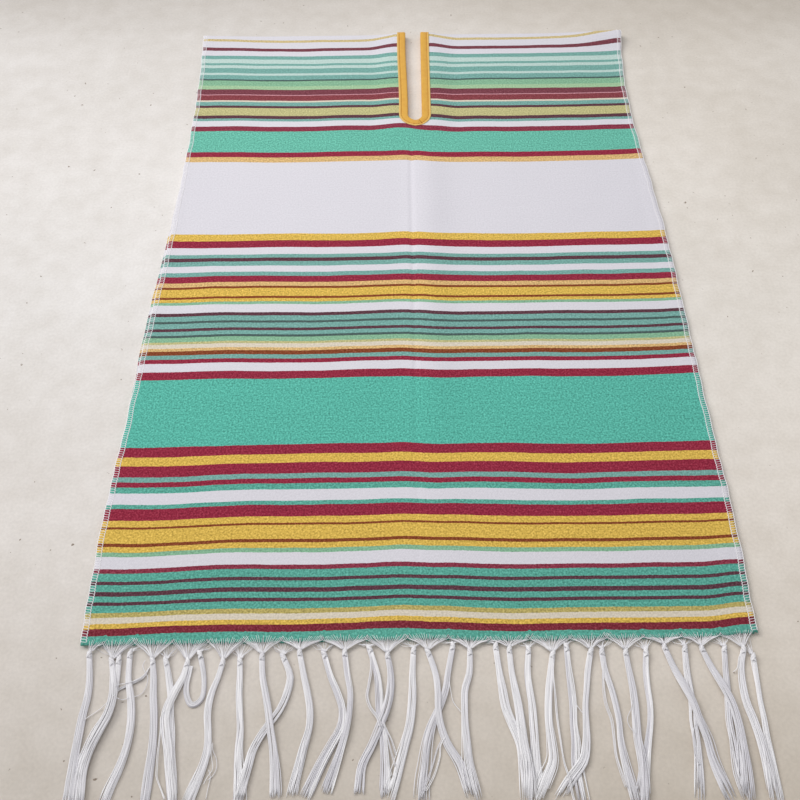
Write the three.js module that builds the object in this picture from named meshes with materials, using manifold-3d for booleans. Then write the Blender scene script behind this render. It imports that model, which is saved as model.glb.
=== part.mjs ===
// A woven cotton poncho laid flat, folded in half at the shoulders: front panel on top,
// back panel underneath, a bias-bound neck slit through the fold, knotted warp fringe at both hems.
// Millimetres, +Z up. The shoulder fold lies toward +Y and the hems toward -Y.
// Inside this file x is measured from the cloth's centre line and v from the fold down to the hem.

import * as THREE from 'three';
import { mergeVertices } from 'three/addons/utils/BufferGeometryUtils.js';
import Module from 'manifold-3d';

const wasm = await Module();
wasm.setup();

// ---- driving dimensions ----
const CLOTH = {
  halfWidth: 300,
  panel: 889, // shoulder fold to hem
  thickness: 1.4,
  gap: 0.3, // air between pieces that touch
  skew: 0.019, // the weft runs a little uphill from left to right
};
const SLIT = {
  x: 0.5,
  halfOpening: 10.8, // clear opening between the bound edges
  depth: 190, // fold to the bottom of the clear opening
  arcSteps: 12,
};
const CUTTER = { past: 60, height: 60 }; // how far the slit's cutter runs past the fold and the cloth
const TAPE = { width: 12, thickness: 1.0, corner: 0.5 };
const LIFT_EASE = { front: 38, back: 12 }; // how far the cloth takes to come down off the tape
const FOLD = {
  radius: 2.2,
  atSlit: 1.3, // extra radius where the tape goes over
  atLeft: 1.2, // extra radius of the curled corners
  atRight: 2.6,
  ease: 36,
  steps: 6,
};
const CREASE = { from: 214, x: 14, drift: 7, height: 4.4, spread: 17 }; // pressed fold down the middle
const WAVE = { height: 1.8, across: 74, along: 150 };
const HEM_FADE = 70; // the last stretch above the hem lies flat

// Where the side edges run: left and right edge of the front panel, and how far the
// back panel shows past it at the left.
const EDGES = [
  { v: 0, left: -300.5, right: 300.5, peek: -2 },
  { v: 110, left: -295.5, right: 293, peek: -2 },
  { v: 200, left: -293.5, right: 292.5, peek: -1 },
  { v: 300, left: -293.5, right: 297, peek: 1 },
  { v: 400, left: -294, right: 301.5, peek: 3 },
  { v: 530, left: -298, right: 303, peek: 4 },
  { v: 660, left: -301, right: 303.5, peek: 1 },
  { v: 780, left: -304.5, right: 305, peek: -1 },
  { v: 889, left: -302.5, right: 302.5, peek: -1 },
];
const BACK_INSET = 3; // the back panel's right edge lies hidden this far inside the front's
const COLUMNS = [-300, -270, -230, -190, -150, -115, -85, -60, -42, -24.6, -14, -5,
  5, 14, 24.6, 42, 60, 85, 115, 150, 190, 230, 270, 300];
const SLIT_ROWS = [7, 14, 24, 36, 52, 80, 115, 150, 174];
const FRONT_ROWS = [204, 225, 250, 290, 340, 400, 460, 520, 580, 640, 700, 760, 820, 889];
const BACK_ROWS = [204, 225, 300, 400, 520, 640, 760, 889];

const FRINGE = {
  stripDepth: 2,
  strandRadius: 1.3,
  legRadius: 0.7,
  strands: 4,
  spacing: 2.6, // between neighbouring strands where they leave the knot
  splay: 1.5, // how much further apart they end
  knot: { across: 4.6, along: 5.4, up: 3.5, clear: 0.4 },
  floorGap: 0.35,
  steps: 4,
  fanLimit: 14,
  fanShare: 0.62, // of the distance to the next knot
};

// One row for each knotted tassel, left to right: which panel it hangs from, the x of its knot,
// how far below the hem the knot sits, and where its middle and its tip lie.
const TASSELS = [
  { panel: 'front', knot: -293, drop: 9, midX: -288, midDrop: 70, tipX: -286, tipDrop: 135 },
  { panel: 'back', knot: -282, drop: 9, midX: -280, midDrop: 65, tipX: -285, tipDrop: 128 },
  { panel: 'front', knot: -271, drop: 17, midX: -270, midDrop: 75, tipX: -279, tipDrop: 135 },
  { panel: 'back', knot: -258, drop: 9, midX: -247, midDrop: 71, tipX: -256, tipDrop: 133 },
  { panel: 'front', knot: -236, drop: 16, midX: -229, midDrop: 75, tipX: -225, tipDrop: 137 },
  { panel: 'back', knot: -225, drop: 15, midX: -216, midDrop: 61, tipX: -211, tipDrop: 117 },
  { panel: 'front', knot: -205, drop: 19, midX: -219, midDrop: 79, tipX: -202, tipDrop: 140 },
  { panel: 'back', knot: -195, drop: 11, midX: -186, midDrop: 55, tipX: -200, tipDrop: 39 },
  { panel: 'front', knot: -174, drop: 16, midX: -181, midDrop: 75, tipX: -188, tipDrop: 135 },
  { panel: 'back', knot: -158, drop: 18, midX: -154, midDrop: 75, tipX: -149, tipDrop: 134 },
  { panel: 'front', knot: -141, drop: 14, midX: -127, midDrop: 67, tipX: -119, tipDrop: 122 },
  { panel: 'back', knot: -121, drop: 13, midX: -116, midDrop: 63, tipX: -144, tipDrop: 120 },
  { panel: 'front', knot: -107, drop: 9, midX: -94, midDrop: 63, tipX: -105, tipDrop: 116 },
  { panel: 'back', knot: -85, drop: 12, midX: -65, midDrop: 67, tipX: -92, tipDrop: 123 },
  { panel: 'front', knot: -67, drop: 11, midX: -61, midDrop: 65, tipX: -76, tipDrop: 119 },
  { panel: 'back', knot: -45, drop: 9, midX: -37, midDrop: 63, tipX: -54, tipDrop: 117 },
  { panel: 'front', knot: -29, drop: 15, midX: -26, midDrop: 69, tipX: -29, tipDrop: 125 },
  { panel: 'back', knot: -6, drop: 10, midX: -10, midDrop: 71, tipX: -26, tipDrop: 130 },
  { panel: 'front', knot: 6, drop: 12, midX: 20, midDrop: 67, tipX: 40, tipDrop: 124 },
  { panel: 'back', knot: 29, drop: 9, midX: 17, midDrop: 69, tipX: -1, tipDrop: 132 },
  { panel: 'front', knot: 44, drop: 12, midX: 38, midDrop: 69, tipX: 44, tipDrop: 128 },
  { panel: 'back', knot: 66, drop: 9, midX: 78, midDrop: 71, tipX: 84, tipDrop: 134 },
  { panel: 'front', knot: 79, drop: 11, midX: 87, midDrop: 71, tipX: 90, tipDrop: 132 },
  { panel: 'back', knot: 97, drop: 13, midX: 96, midDrop: 73, tipX: 94, tipDrop: 133 },
  { panel: 'front', knot: 116, drop: 16, midX: 111, midDrop: 75, tipX: 98, tipDrop: 133 },
  { panel: 'back', knot: 130, drop: 11, midX: 131, midDrop: 73, tipX: 131, tipDrop: 136 },
  { panel: 'front', knot: 151, drop: 15, midX: 141, midDrop: 73, tipX: 117, tipDrop: 129 },
  { panel: 'back', knot: 161, drop: 14, midX: 164, midDrop: 75, tipX: 172, tipDrop: 136 },
  { panel: 'front', knot: 183, drop: 15, midX: 186, midDrop: 75, tipX: 179, tipDrop: 135 },
  { panel: 'back', knot: 200, drop: 17, midX: 195, midDrop: 71, tipX: 176, tipDrop: 125 },
  { panel: 'front', knot: 217, drop: 12, midX: 232, midDrop: 73, tipX: 249, tipDrop: 134 },
  { panel: 'back', knot: 234, drop: 14, midX: 231, midDrop: 75, tipX: 228, tipDrop: 137 },
  { panel: 'front', knot: 249, drop: 15, midX: 266, midDrop: 67, tipX: 266, tipDrop: 125 },
  { panel: 'back', knot: 270, drop: 15, midX: 262, midDrop: 77, tipX: 266, tipDrop: 138 },
  { panel: 'front', knot: 286, drop: 17, midX: 283, midDrop: 75, tipX: 287, tipDrop: 137 },
  { panel: 'back', knot: 297, drop: 24, midX: 293, midDrop: 78, tipX: 290, tipDrop: 136 },
];

// ---- values that follow from them ----
const HALF = CLOTH.thickness / 2;
const TAPE_REACH = HALF + CLOTH.gap + TAPE.thickness; // mid-cloth to the tape's outer face
const SLIT_CUT = SLIT.halfOpening + CLOTH.gap + TAPE.thickness; // half width of the cut in the cloth
const TAPE_COVER = TAPE.width + CLOTH.gap; // stretch beside the cut that lies level under the tape
const BACK_MID = HALF;
const FRONT_MID = CLOTH.thickness + CLOTH.gap + HALF;
const BACK_LIFT = TAPE_REACH - HALF;
const FRONT_LIFT = 2 * TAPE_REACH + CLOTH.gap + BACK_MID + BACK_LIFT - FRONT_MID;
const ARC_Y = -(SLIT.depth - SLIT.halfOpening);

// ---- small maths ----
const clamp01 = (t) => Math.min(1, Math.max(0, t));

function ease(t) {
  const c = clamp01(t);
  return c * c * (3 - 2 * c);
}

// Reads a column of a table at v with a smooth curve through its rows.
function readTable(rows, column, v) {
  const last = rows.length - 1;
  let k = rows.findIndex((row, i) => i === last - 1 || v < rows[i + 1].v);
  k = Math.max(0, k);
  const [p0, p1, p2, p3] = [k - 1, k, k + 1, k + 2].map(
    (i) => rows[Math.min(last, Math.max(0, i))][column],
  );
  const t = clamp01((v - rows[k].v) / (rows[k + 1].v - rows[k].v));
  const slopeIn = (p2 - p0) / 2;
  const slopeOut = (p3 - p1) / 2;
  const a = 2 * p1 - 2 * p2 + slopeIn + slopeOut;
  const b = 3 * p2 - 3 * p1 - 2 * slopeIn - slopeOut;
  return ((a * t + b) * t + slopeIn) * t + p1;
}

// ---- the form of the laid cloth ----
function tapedShare(x, v, reach) {
  const across = Math.max(0, Math.abs(x - SLIT.x) - SLIT_CUT - TAPE_COVER);
  const below = Math.max(0, v - SLIT.depth - TAPE.width - CLOTH.gap);
  return 1 - ease(Math.hypot(across, below) / reach);
}

function foldRadius(x) {
  return FOLD.radius
    + FOLD.atSlit * tapedShare(x, 0, LIFT_EASE.front)
    + FOLD.atLeft * ease((-x - 200) / 100)
    + FOLD.atRight * ease((x - 190) / 110);
}

function creaseHeight(x, v) {
  const along = ease((v - CREASE.from) / 70) * (1 - 0.75 * ease((v - 480) / 330));
  const line = CREASE.x + (CREASE.drift * (v - CREASE.from)) / CLOTH.panel;
  return CREASE.height * along * Math.exp(-(((x - line) / CREASE.spread) ** 2) / 2);
}

function waveHeight(x, v) {
  const swell = 0.5 + 0.5 * Math.sin(x / WAVE.across + v / WAVE.along + 0.6);
  const roll = 0.5 + 0.5 * Math.sin(v / 97 - x / 210);
  return WAVE.height * swell * roll * (1 - tapedShare(x, v, 90));
}

function backMid(x, v) {
  return BACK_MID + BACK_LIFT * tapedShare(x, v, LIFT_EASE.back);
}

function frontMid(x, v) {
  const settled = ease((CLOTH.panel - v) / HEM_FADE);
  const soft = (creaseHeight(x, v) + waveHeight(x, v)) * settled;
  const plain = FRONT_MID + FRONT_LIFT * tapedShare(x, v, LIFT_EASE.front) + soft;
  const radius = foldRadius(x);
  const rolled = backMid(x, 0) + 2 * radius;
  return THREE.MathUtils.lerp(rolled, plain, ease((v - radius) / FOLD.ease));
}

function lineY(x, v) {
  return CLOTH.skew * x - v;
}

function columnX(offset, v, toBack) {
  const peek = readTable(EDGES, 'peek', v);
  const side = offset < 0 ? 'left' : 'right';
  const shift = side === 'left' ? -peek : -BACK_INSET - peek / 2;
  const edge = readTable(EDGES, side, v) + toBack * shift;
  const pull = edge - Math.sign(offset) * CLOTH.halfWidth;
  return SLIT.x + offset + (pull - SLIT.x) * (offset / CLOTH.halfWidth) ** 2;
}

// The cloth's mid-surface as rows of points: up the front, round the fold, down the back.
function clothRows() {
  const up = [...SLIT_ROWS, ...FRONT_ROWS].reverse().map((v) => ({ v, toBack: 0 }));
  const down = [...SLIT_ROWS, ...BACK_ROWS].map((v) => ({ v, toBack: 1 }));
  const round = Array.from({ length: FOLD.steps + 1 }, (_, k) => ({ turn: k / FOLD.steps }));
  return [...up, ...round, ...down].map((row) => COLUMNS.map((offset) => clothPoint(row, offset)));
}

function clothPoint(row, offset) {
  if (row.turn === undefined) {
    const x = columnX(offset, row.v, row.toBack);
    const z = row.toBack ? backMid(x, row.v) : frontMid(x, row.v);
    return new THREE.Vector3(x, lineY(x, row.v), z);
  }
  return foldPoint(columnX(offset, 0, row.turn), row.turn);
}

function foldPoint(x, turn) {
  const radius = foldRadius(x);
  const angle = Math.PI * turn;
  const y = lineY(x, radius) + radius * Math.sin(angle);
  return new THREE.Vector3(x, y, backMid(x, 0) + radius * (1 + Math.cos(angle)));
}

// ---- meshes ----
function toGeometry(points, triangles) {
  const geometry = new THREE.BufferGeometry();
  const flat = points.flatMap((p) => [p.x, p.y, p.z]);
  geometry.setAttribute('position', new THREE.Float32BufferAttribute(flat, 3));
  geometry.setIndex(triangles.flat());
  return geometry;
}

function toSolid(geometry) {
  const bare = new THREE.BufferGeometry();
  bare.setAttribute('position', geometry.getAttribute('position'));
  if (geometry.getIndex()) bare.setIndex(geometry.getIndex());
  const merged = mergeVertices(bare, 1e-4);
  return new wasm.Manifold(new wasm.Mesh({
    numProp: 3,
    vertProperties: new Float32Array(merged.getAttribute('position').array),
    triVerts: new Uint32Array(merged.getIndex().array),
  }));
}

function fromSolid(solid) {
  const { vertProperties, triVerts } = solid.getMesh();
  const geometry = new THREE.BufferGeometry();
  geometry.setAttribute('position', new THREE.BufferAttribute(vertProperties, 3));
  geometry.setIndex(new THREE.BufferAttribute(triVerts, 1));
  return geometry;
}

function surfaceNormals(rows) {
  const pick = (list, k) => list[Math.min(list.length - 1, Math.max(0, k))];
  return rows.map((row, j) => row.map((_, i) => {
    const across = pick(row, i + 1).clone().sub(pick(row, i - 1));
    const along = pick(rows, j + 1)[i].clone().sub(pick(rows, j - 1)[i]);
    return across.cross(along).normalize();
  }));
}

// A wall of even thickness on both sides of a grid of points, closed all round its edges.
function wallGeometry(rows, thickness) {
  const normals = surfaceNormals(rows);
  const [count, width] = [rows.length, rows[0].length];
  const skin = (sign) => rows.flatMap((row, j) => row.map(
    (p, i) => p.clone().addScaledVector(normals[j][i], (sign * thickness) / 2),
  ));
  const points = [...skin(1), ...skin(-1)];
  const outer = (j, i) => j * width + i;
  const inner = (j, i) => count * width + outer(j, i);
  const triangles = [];
  const quad = (a, b, c, d) => triangles.push([a, b, c], [a, c, d]);
  for (let j = 0; j < count - 1; j += 1) {
    for (let i = 0; i < width - 1; i += 1) {
      quad(outer(j, i), outer(j, i + 1), outer(j + 1, i + 1), outer(j + 1, i));
      quad(inner(j, i), inner(j + 1, i), inner(j + 1, i + 1), inner(j, i + 1));
    }
    quad(outer(j, 0), outer(j + 1, 0), inner(j + 1, 0), inner(j, 0));
    const end = width - 1;
    quad(outer(j, end), inner(j, end), inner(j + 1, end), outer(j + 1, end));
  }
  for (let i = 0; i < width - 1; i += 1) {
    quad(outer(0, i), inner(0, i), inner(0, i + 1), outer(0, i + 1));
    const top = count - 1;
    quad(outer(top, i), outer(top, i + 1), inner(top, i + 1), inner(top, i));
  }
  return toGeometry(points, triangles);
}

function slitPrism() {
  const outline = new THREE.Shape();
  outline.moveTo(SLIT.x - SLIT_CUT, ARC_Y);
  outline.absarc(SLIT.x, ARC_Y, SLIT_CUT, Math.PI, 2 * Math.PI, false);
  outline.lineTo(SLIT.x + SLIT_CUT, CUTTER.past);
  outline.lineTo(SLIT.x - SLIT_CUT, CUTTER.past);
  const prism = new THREE.ExtrudeGeometry(outline, {
    depth: CUTTER.height,
    bevelEnabled: false,
    curveSegments: SLIT.arcSteps,
  });
  return prism.translate(0, 0, -CUTTER.height / 2);
}

function clothGeometry() {
  const wall = toSolid(wallGeometry(clothRows(), CLOTH.thickness));
  return fromSolid(wall.subtract(toSolid(slitPrism())));
}

// ---- neck binding: a tape folded over the cut edge, one loop through both panels ----
function tapeSection() {
  const out = TAPE_REACH;
  const back = -(CLOTH.gap + TAPE.thickness);
  const tip = TAPE.width + back;
  const inside = HALF + CLOTH.gap;
  return [
    { b: tip, n: out }, { b: back + TAPE.corner, n: out }, { b: back, n: out - TAPE.corner },
    { b: back, n: TAPE.corner - out }, { b: back + TAPE.corner, n: -out }, { b: tip, n: -out },
    { b: tip, n: -inside }, { b: -CLOTH.gap, n: -inside }, { b: -CLOTH.gap, n: inside },
    { b: tip, n: inside },
  ];
}

// The cut edge as points, each with the direction that leads into the cloth.
function slitRoute() {
  const side = (sign, v, mid) => {
    const x = SLIT.x + sign * SLIT_CUT;
    return { p: new THREE.Vector3(x, lineY(x, v), mid(x, v)), into: new THREE.Vector3(sign, 0, 0) };
  };
  const over = (sign, turn) => ({
    p: foldPoint(SLIT.x + sign * SLIT_CUT, turn),
    into: new THREE.Vector3(sign, 0, 0),
  });
  const bottom = (sign, k, mid) => {
    const angle = Math.PI * (1.5 - sign * (k / SLIT.arcSteps - 0.5));
    const into = new THREE.Vector3(Math.cos(angle), Math.sin(angle), 0);
    const [x, y] = [SLIT.x + SLIT_CUT * into.x, ARC_Y + SLIT_CUT * into.y];
    return { p: new THREE.Vector3(x, y, mid(x, CLOTH.skew * x - y)), into };
  };
  const steps = Array.from({ length: SLIT.arcSteps + 1 }, (_, k) => k);
  const turns = Array.from({ length: FOLD.steps + 1 }, (_, k) => k / FOLD.steps);
  const rising = [...SLIT_ROWS].reverse();
  return [
    ...SLIT_ROWS.map((v) => side(-1, v, frontMid)),
    ...steps.map((k) => bottom(-1, k, frontMid)),
    ...rising.map((v) => side(1, v, frontMid)),
    ...turns.map((t) => over(1, t)),
    ...SLIT_ROWS.map((v) => side(1, v, backMid)),
    ...steps.map((k) => bottom(1, k, backMid)),
    ...rising.map((v) => side(-1, v, backMid)),
    ...[...turns].reverse().map((t) => over(-1, t)),
  ];
}

function bindingGeometry() {
  const route = slitRoute();
  const section = tapeSection();
  const points = route.flatMap(({ p, into }, k) => {
    const next = route[(k + 1) % route.length].p;
    const last = route[(k + route.length - 1) % route.length].p;
    const along = next.clone().sub(last).normalize();
    const up = into.clone().cross(along).normalize();
    return section.map(({ b, n }) => p.clone().addScaledVector(into, b).addScaledVector(up, n));
  });
  const triangles = [];
  for (let k = 0; k < route.length; k += 1) {
    const here = k * section.length;
    const there = ((k + 1) % route.length) * section.length;
    for (let i = 0; i < section.length; i += 1) {
      const j = (i + 1) % section.length;
      triangles.push([here + i, there + i, there + j], [here + i, there + j, here + j]);
    }
  }
  return toGeometry(points, triangles);
}

// ---- fringe ----
// A three-sided strand through the given points, lying flat side down.
function strandGeometry(path, radius) {
  const corners = [90, 210, 330].map((degrees) => THREE.MathUtils.degToRad(degrees));
  const points = path.flatMap((p, k) => {
    const ahead = path[Math.min(path.length - 1, k + 1)];
    const behind = path[Math.max(0, k - 1)];
    const along = ahead.clone().sub(behind).normalize();
    const side = new THREE.Vector3(-along.y, along.x, 0).normalize();
    const up = along.clone().cross(side).normalize();
    return corners.map((a) => p.clone()
      .addScaledVector(side, radius * Math.cos(a))
      .addScaledVector(up, radius * Math.sin(a)));
  });
  const triangles = [[0, 2, 1]];
  for (let k = 0; k < path.length - 1; k += 1) {
    for (let i = 0; i < 3; i += 1) {
      const j = (i + 1) % 3;
      const [a, b] = [3 * k + i, 3 * k + j];
      triangles.push([a, b, b + 3], [a, b + 3, a + 3]);
    }
  }
  const end = 3 * (path.length - 1);
  triangles.push([end, end + 1, end + 2]);
  return toGeometry(points, triangles);
}

function hemY(x) {
  return lineY(x, CLOTH.panel);
}

// A curve through the knot, the middle and the tip of a tassel, at share t of its length.
function tasselPoint(tassel, t) {
  const [a, b, c] = [(2 * t - 1) * (t - 1), 4 * t * (1 - t), t * (2 * t - 1)];
  const x = a * tassel.knot + b * tassel.midX + c * tassel.tipX;
  const drop = a * tassel.drop + b * tassel.midDrop + c * tassel.tipDrop;
  return new THREE.Vector3(x, hemY(x) - drop, 0);
}

function strandPaths(tassel, number) {
  const paths = [];
  const low = FRINGE.strandRadius / 2 + FRINGE.floorGap;
  for (let s = 0; s < FRINGE.strands; s += 1) {
    const place = s - (FRINGE.strands - 1) / 2;
    const trim = 1 - 0.025 * ((number * 3 + s * 2) % 4);
    const path = [];
    for (let k = 0; k <= FRINGE.steps; k += 1) {
      const t = (k / FRINGE.steps) * trim;
      const here = tasselPoint(tassel, t);
      const along = tasselPoint(tassel, t + 0.01).sub(tasselPoint(tassel, t - 0.01)).normalize();
      const apart = place * (FRINGE.spacing + FRINGE.splay * t);
      here.x += -along.y * apart;
      here.y += along.x * apart;
      here.z = k === 0 ? FRINGE.knot.up + FRINGE.knot.clear : low;
      path.push(here);
    }
    paths.push(path);
  }
  return paths;
}

// Shortest distance in plan between two straight stretches.
function planDistance(a, b, c, d) {
  const cross = (p, q, r) => (q.x - p.x) * (r.y - p.y) - (q.y - p.y) * (r.x - p.x);
  const split = (p, q, r, s) => cross(p, q, r) * cross(p, q, s) < 0;
  if (split(a, b, c, d) && split(c, d, a, b)) return 0;
  const toLine = (p, q, r) => {
    const [dx, dy] = [r.x - q.x, r.y - q.y];
    const t = clamp01(((p.x - q.x) * dx + (p.y - q.y) * dy) / (dx * dx + dy * dy));
    return Math.hypot(p.x - q.x - t * dx, p.y - q.y - t * dy);
  };
  return Math.min(toLine(a, c, d), toLine(b, c, d), toLine(c, a, b), toLine(d, a, b));
}

// Lifts a strand over every strand that is already laid where they meet.
function liftOver(path, laid) {
  const apart = FRINGE.strandRadius * 1.5 + CLOTH.gap;
  const wide = FRINGE.strandRadius * 2;
  for (let k = 1; k < path.length; k += 1) {
    for (const other of laid) {
      for (let m = 1; m < other.length; m += 1) {
        const near = planDistance(path[k - 1], path[k], other[m - 1], other[m]) < wide;
        if (near) {
          const need = Math.max(other[m - 1].z, other[m].z) + apart;
          path[k - 1].z = k > 1 ? Math.max(path[k - 1].z, need) : path[k - 1].z;
          path[k].z = Math.max(path[k].z, need);
        }
      }
    }
  }
}

function layStrands() {
  const laid = [];
  for (const panel of ['back', 'front']) {
    TASSELS.forEach((tassel, number) => {
      if (tassel.panel !== panel) return;
      const earlier = [...laid];
      for (const path of strandPaths(tassel, number)) {
        liftOver(path, earlier);
        path.panel = panel;
        laid.push(path);
      }
    });
  }
  return laid;
}

function fanReach(number, sign) {
  const neighbour = TASSELS[number + sign];
  const room = neighbour ? Math.abs(neighbour.knot - TASSELS[number].knot) : 12;
  return Math.min(FRINGE.fanLimit, FRINGE.fanShare * room);
}

// The stretch from the hem strip to the knot: three spread legs in front, two close ones behind.
function fanPaths(tassel, number, stripZ) {
  const knot = knotCentre(tassel);
  const isFront = tassel.panel === 'front';
  const starts = isFront
    ? [-0.85 * fanReach(number, -1), 0, 0.85 * fanReach(number, 1)]
    : [-3, 3];
  return starts.map((offset) => {
    const limit = CLOTH.halfWidth - 8;
    const x = Math.min(limit, Math.max(-limit, tassel.knot + offset));
    const start = new THREE.Vector3(x, hemY(x) - CLOTH.gap - FRINGE.stripDepth / 2, stripZ);
    const low = start.clone().lerp(knot, 0.3).setZ(stripZ);
    return isFront ? [start, knot] : [start, low, knot];
  });
}

function knotCentre(tassel) {
  return tasselPoint(tassel, 0).setZ(FRINGE.knot.up + FRINGE.knot.clear);
}

function knotGeometry(tassel) {
  const { across, along, up } = FRINGE.knot;
  const ball = new THREE.SphereGeometry(1, 6, 3).rotateX(Math.PI / 2).scale(across, along, up);
  const centre = knotCentre(tassel);
  return ball.translate(centre.x, centre.y, centre.z);
}

// The narrow strip that carries one panel's fringe, 0.3 mm off the cloth's hem.
function stripGeometry(bottom, height, toBack) {
  const left = columnX(-CLOTH.halfWidth, CLOTH.panel, toBack) + 1;
  const right = columnX(CLOTH.halfWidth, CLOTH.panel, toBack) - 1;
  const length = right - left;
  const strip = new THREE.BoxGeometry(length, FRINGE.stripDepth, height);
  const middle = (left + right) / 2;
  const y = hemY(middle) - CLOTH.gap - FRINGE.stripDepth / 2;
  return strip.rotateZ(Math.atan(CLOTH.skew)).translate(middle, y, bottom + height / 2);
}

function fringeGeometry(panel, strands) {
  const isFront = panel === 'front';
  const bottom = isFront ? FRONT_MID - HALF + 0.05 : 0;
  const strip = stripGeometry(bottom, CLOTH.thickness - 0.1, isFront ? 0 : 1);
  const stripZ = bottom + FRINGE.legRadius;
  const parts = [toSolid(strip)];
  TASSELS.forEach((tassel, number) => {
    if (tassel.panel !== panel) return;
    parts.push(toSolid(knotGeometry(tassel)));
    for (const path of fanPaths(tassel, number, stripZ)) {
      parts.push(toSolid(strandGeometry(path, FRINGE.legRadius)));
    }
  });
  for (const path of strands.filter((strand) => strand.panel === panel)) {
    parts.push(toSolid(strandGeometry(path, FRINGE.strandRadius)));
  }
  return fromSolid(wasm.Manifold.union(parts));
}

// ---- assembly ----
function finish(color, roughness) {
  return new THREE.MeshStandardMaterial({ color, roughness, metalness: 0 });
}

function named(name, geometry, material) {
  geometry.computeVertexNormals();
  const mesh = new THREE.Mesh(geometry, material);
  mesh.name = name;
  return mesh;
}

const strands = layStrands();
const wovenCotton = finish(0x68b9a6, 0.92);
const cottonTape = finish(0xdca33c, 0.8);
const cottonWarp = finish(0xeeecea, 0.9);

const poncho = new THREE.Group();
poncho.add(named('poncho_cloth', clothGeometry(), wovenCotton));
poncho.add(named('neck_binding', bindingGeometry(), cottonTape));
poncho.add(named('front_fringe', fringeGeometry('front', strands), cottonWarp));
poncho.add(named('back_fringe', fringeGeometry('back', strands), cottonWarp));

// The origin is under the middle of the whole poncho, on the surface it lies on.
const box = new THREE.Box3().setFromObject(poncho);
const middle = box.getCenter(new THREE.Vector3());
poncho.position.set(-middle.x, -middle.y, -box.min.z);

const model = new THREE.Group();
model.add(poncho);
export default model;
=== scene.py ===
"""A striped cotton poncho, laid flat and folded at the shoulders.

One length of hand-loomed cloth lies doubled: the front panel on top, the back panel under it. A bias
tape binds the neck slit, white overlock runs down both side edges, and each hem ends in its own warp,
knotted into tassels.

Inside the classes lengths are millimetres in the plan of the cloth: x from the cloth's centre line,
v from the shoulder fold down to the hem, z up from the floor. LaidForm.to_frame turns them into the
metres of the frame.
"""

import logging
import math
from dataclasses import dataclass, field
from enum import Enum
from typing import Any, Iterable, Sequence

import bpy
import numpy as np
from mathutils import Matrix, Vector


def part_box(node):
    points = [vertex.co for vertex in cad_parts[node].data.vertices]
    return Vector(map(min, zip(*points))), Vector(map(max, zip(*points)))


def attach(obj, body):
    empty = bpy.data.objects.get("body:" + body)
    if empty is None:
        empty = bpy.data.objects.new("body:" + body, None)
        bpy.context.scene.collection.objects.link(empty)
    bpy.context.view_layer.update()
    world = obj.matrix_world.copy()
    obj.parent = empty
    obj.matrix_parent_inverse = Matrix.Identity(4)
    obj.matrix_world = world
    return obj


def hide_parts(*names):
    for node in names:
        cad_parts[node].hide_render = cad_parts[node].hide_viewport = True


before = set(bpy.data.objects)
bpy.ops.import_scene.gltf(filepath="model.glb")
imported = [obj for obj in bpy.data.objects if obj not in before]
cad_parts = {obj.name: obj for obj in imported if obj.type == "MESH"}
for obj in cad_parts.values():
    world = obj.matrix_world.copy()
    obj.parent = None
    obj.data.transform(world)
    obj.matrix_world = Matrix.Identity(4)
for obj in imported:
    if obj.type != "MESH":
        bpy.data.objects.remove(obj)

LOG = logging.getLogger("poncho")
MM = 0.001
BODY = "root"
UP = np.array([0.0, 0.0, 1.0])
# A thread's tint is the count of points before it times this, less whole numbers: neighbours differ.
TINT_STEP = 0.618


# ---------------------------------------------------------------- small maths
def ease(t: np.ndarray | float) -> np.ndarray:
    """Returns a smooth step of t from 0 to 1."""
    c = np.clip(t, 0.0, 1.0)
    return c * c * (3 - 2 * c)


def lerp(a: Any, b: Any, t: Any) -> Any:
    """Returns the value a share t of the way from a to b."""
    return a + (b - a) * t


def unit(vectors: np.ndarray) -> np.ndarray:
    """Returns the vectors at length one."""
    length = np.linalg.norm(vectors, axis=-1, keepdims=True)
    return vectors / np.maximum(length, 1e-9)


def curve_through(points: Sequence[Sequence[float]], count: int) -> np.ndarray:
    """Runs a smooth curve through points.

    Args:
        points: The points, each with two or three numbers.
        count: How many samples to return.

    Returns:
        The samples, evenly spaced in the curve's own parameter.
    """
    p = np.asarray(points, float)
    p = np.vstack([2 * p[0] - p[1], p, 2 * p[-1] - p[-2]])
    t = np.linspace(0, len(p) - 3 - 1e-9, count)
    k = t.astype(int)
    s = (t - k)[:, None]
    a, b, c, d = p[k], p[k + 1], p[k + 2], p[k + 3]
    return 0.5 * (
        2 * b + (c - a) * s + (2 * a - 5 * b + 4 * c - d) * s**2 + (3 * b - 3 * c + d - a) * s**3
    )


def linear(code: str) -> tuple[float, float, float, float]:
    """Turns an sRGB hex colour into the linear one that a shader takes.

    Args:
        code: Six hex digits after a hash.

    Returns:
        Red, green, blue and an alpha of one.
    """
    channels = [int(code[i : i + 2], 16) / 255 for i in (1, 3, 5)]
    flat = [c / 12.92 if c <= 0.04045 else ((c + 0.055) / 1.055) ** 2.4 for c in channels]
    return (flat[0], flat[1], flat[2], 1.0)


# ---------------------------------------------------------------- yarns and chart
class Yarn(Enum):
    """Dyed weft yarns, by the colour on the cone."""

    WHITE = "#E7E5ED"
    CREAM = "#E6DCCA"
    PALE_GOLD = "#D8C48E"
    GOLD = "#E5BF57"
    APRICOT = "#E3BD7F"
    OLIVE = "#C3B36B"
    LEMON = "#C9C48C"
    GREEN = "#8DBF9D"
    LEAF = "#ABCFA6"
    AQUA = "#C8E1DB"
    SEAFOAM = "#7DB2AA"
    TEAL = "#5DBFAD"
    PALE_TEAL = "#6EC4AF"
    DEEP_TEAL = "#5FB1A0"
    SLATE = "#4C625F"
    PLUM = "#5F3743"
    BURGUNDY = "#992540"
    WINE = "#8F3348"
    CRIMSON = "#832938"
    MULBERRY = "#7E3F4B"
    MADDER = "#8C3F47"
    PINK = "#D69AA6"
    BROWN = "#8A4320"


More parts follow.
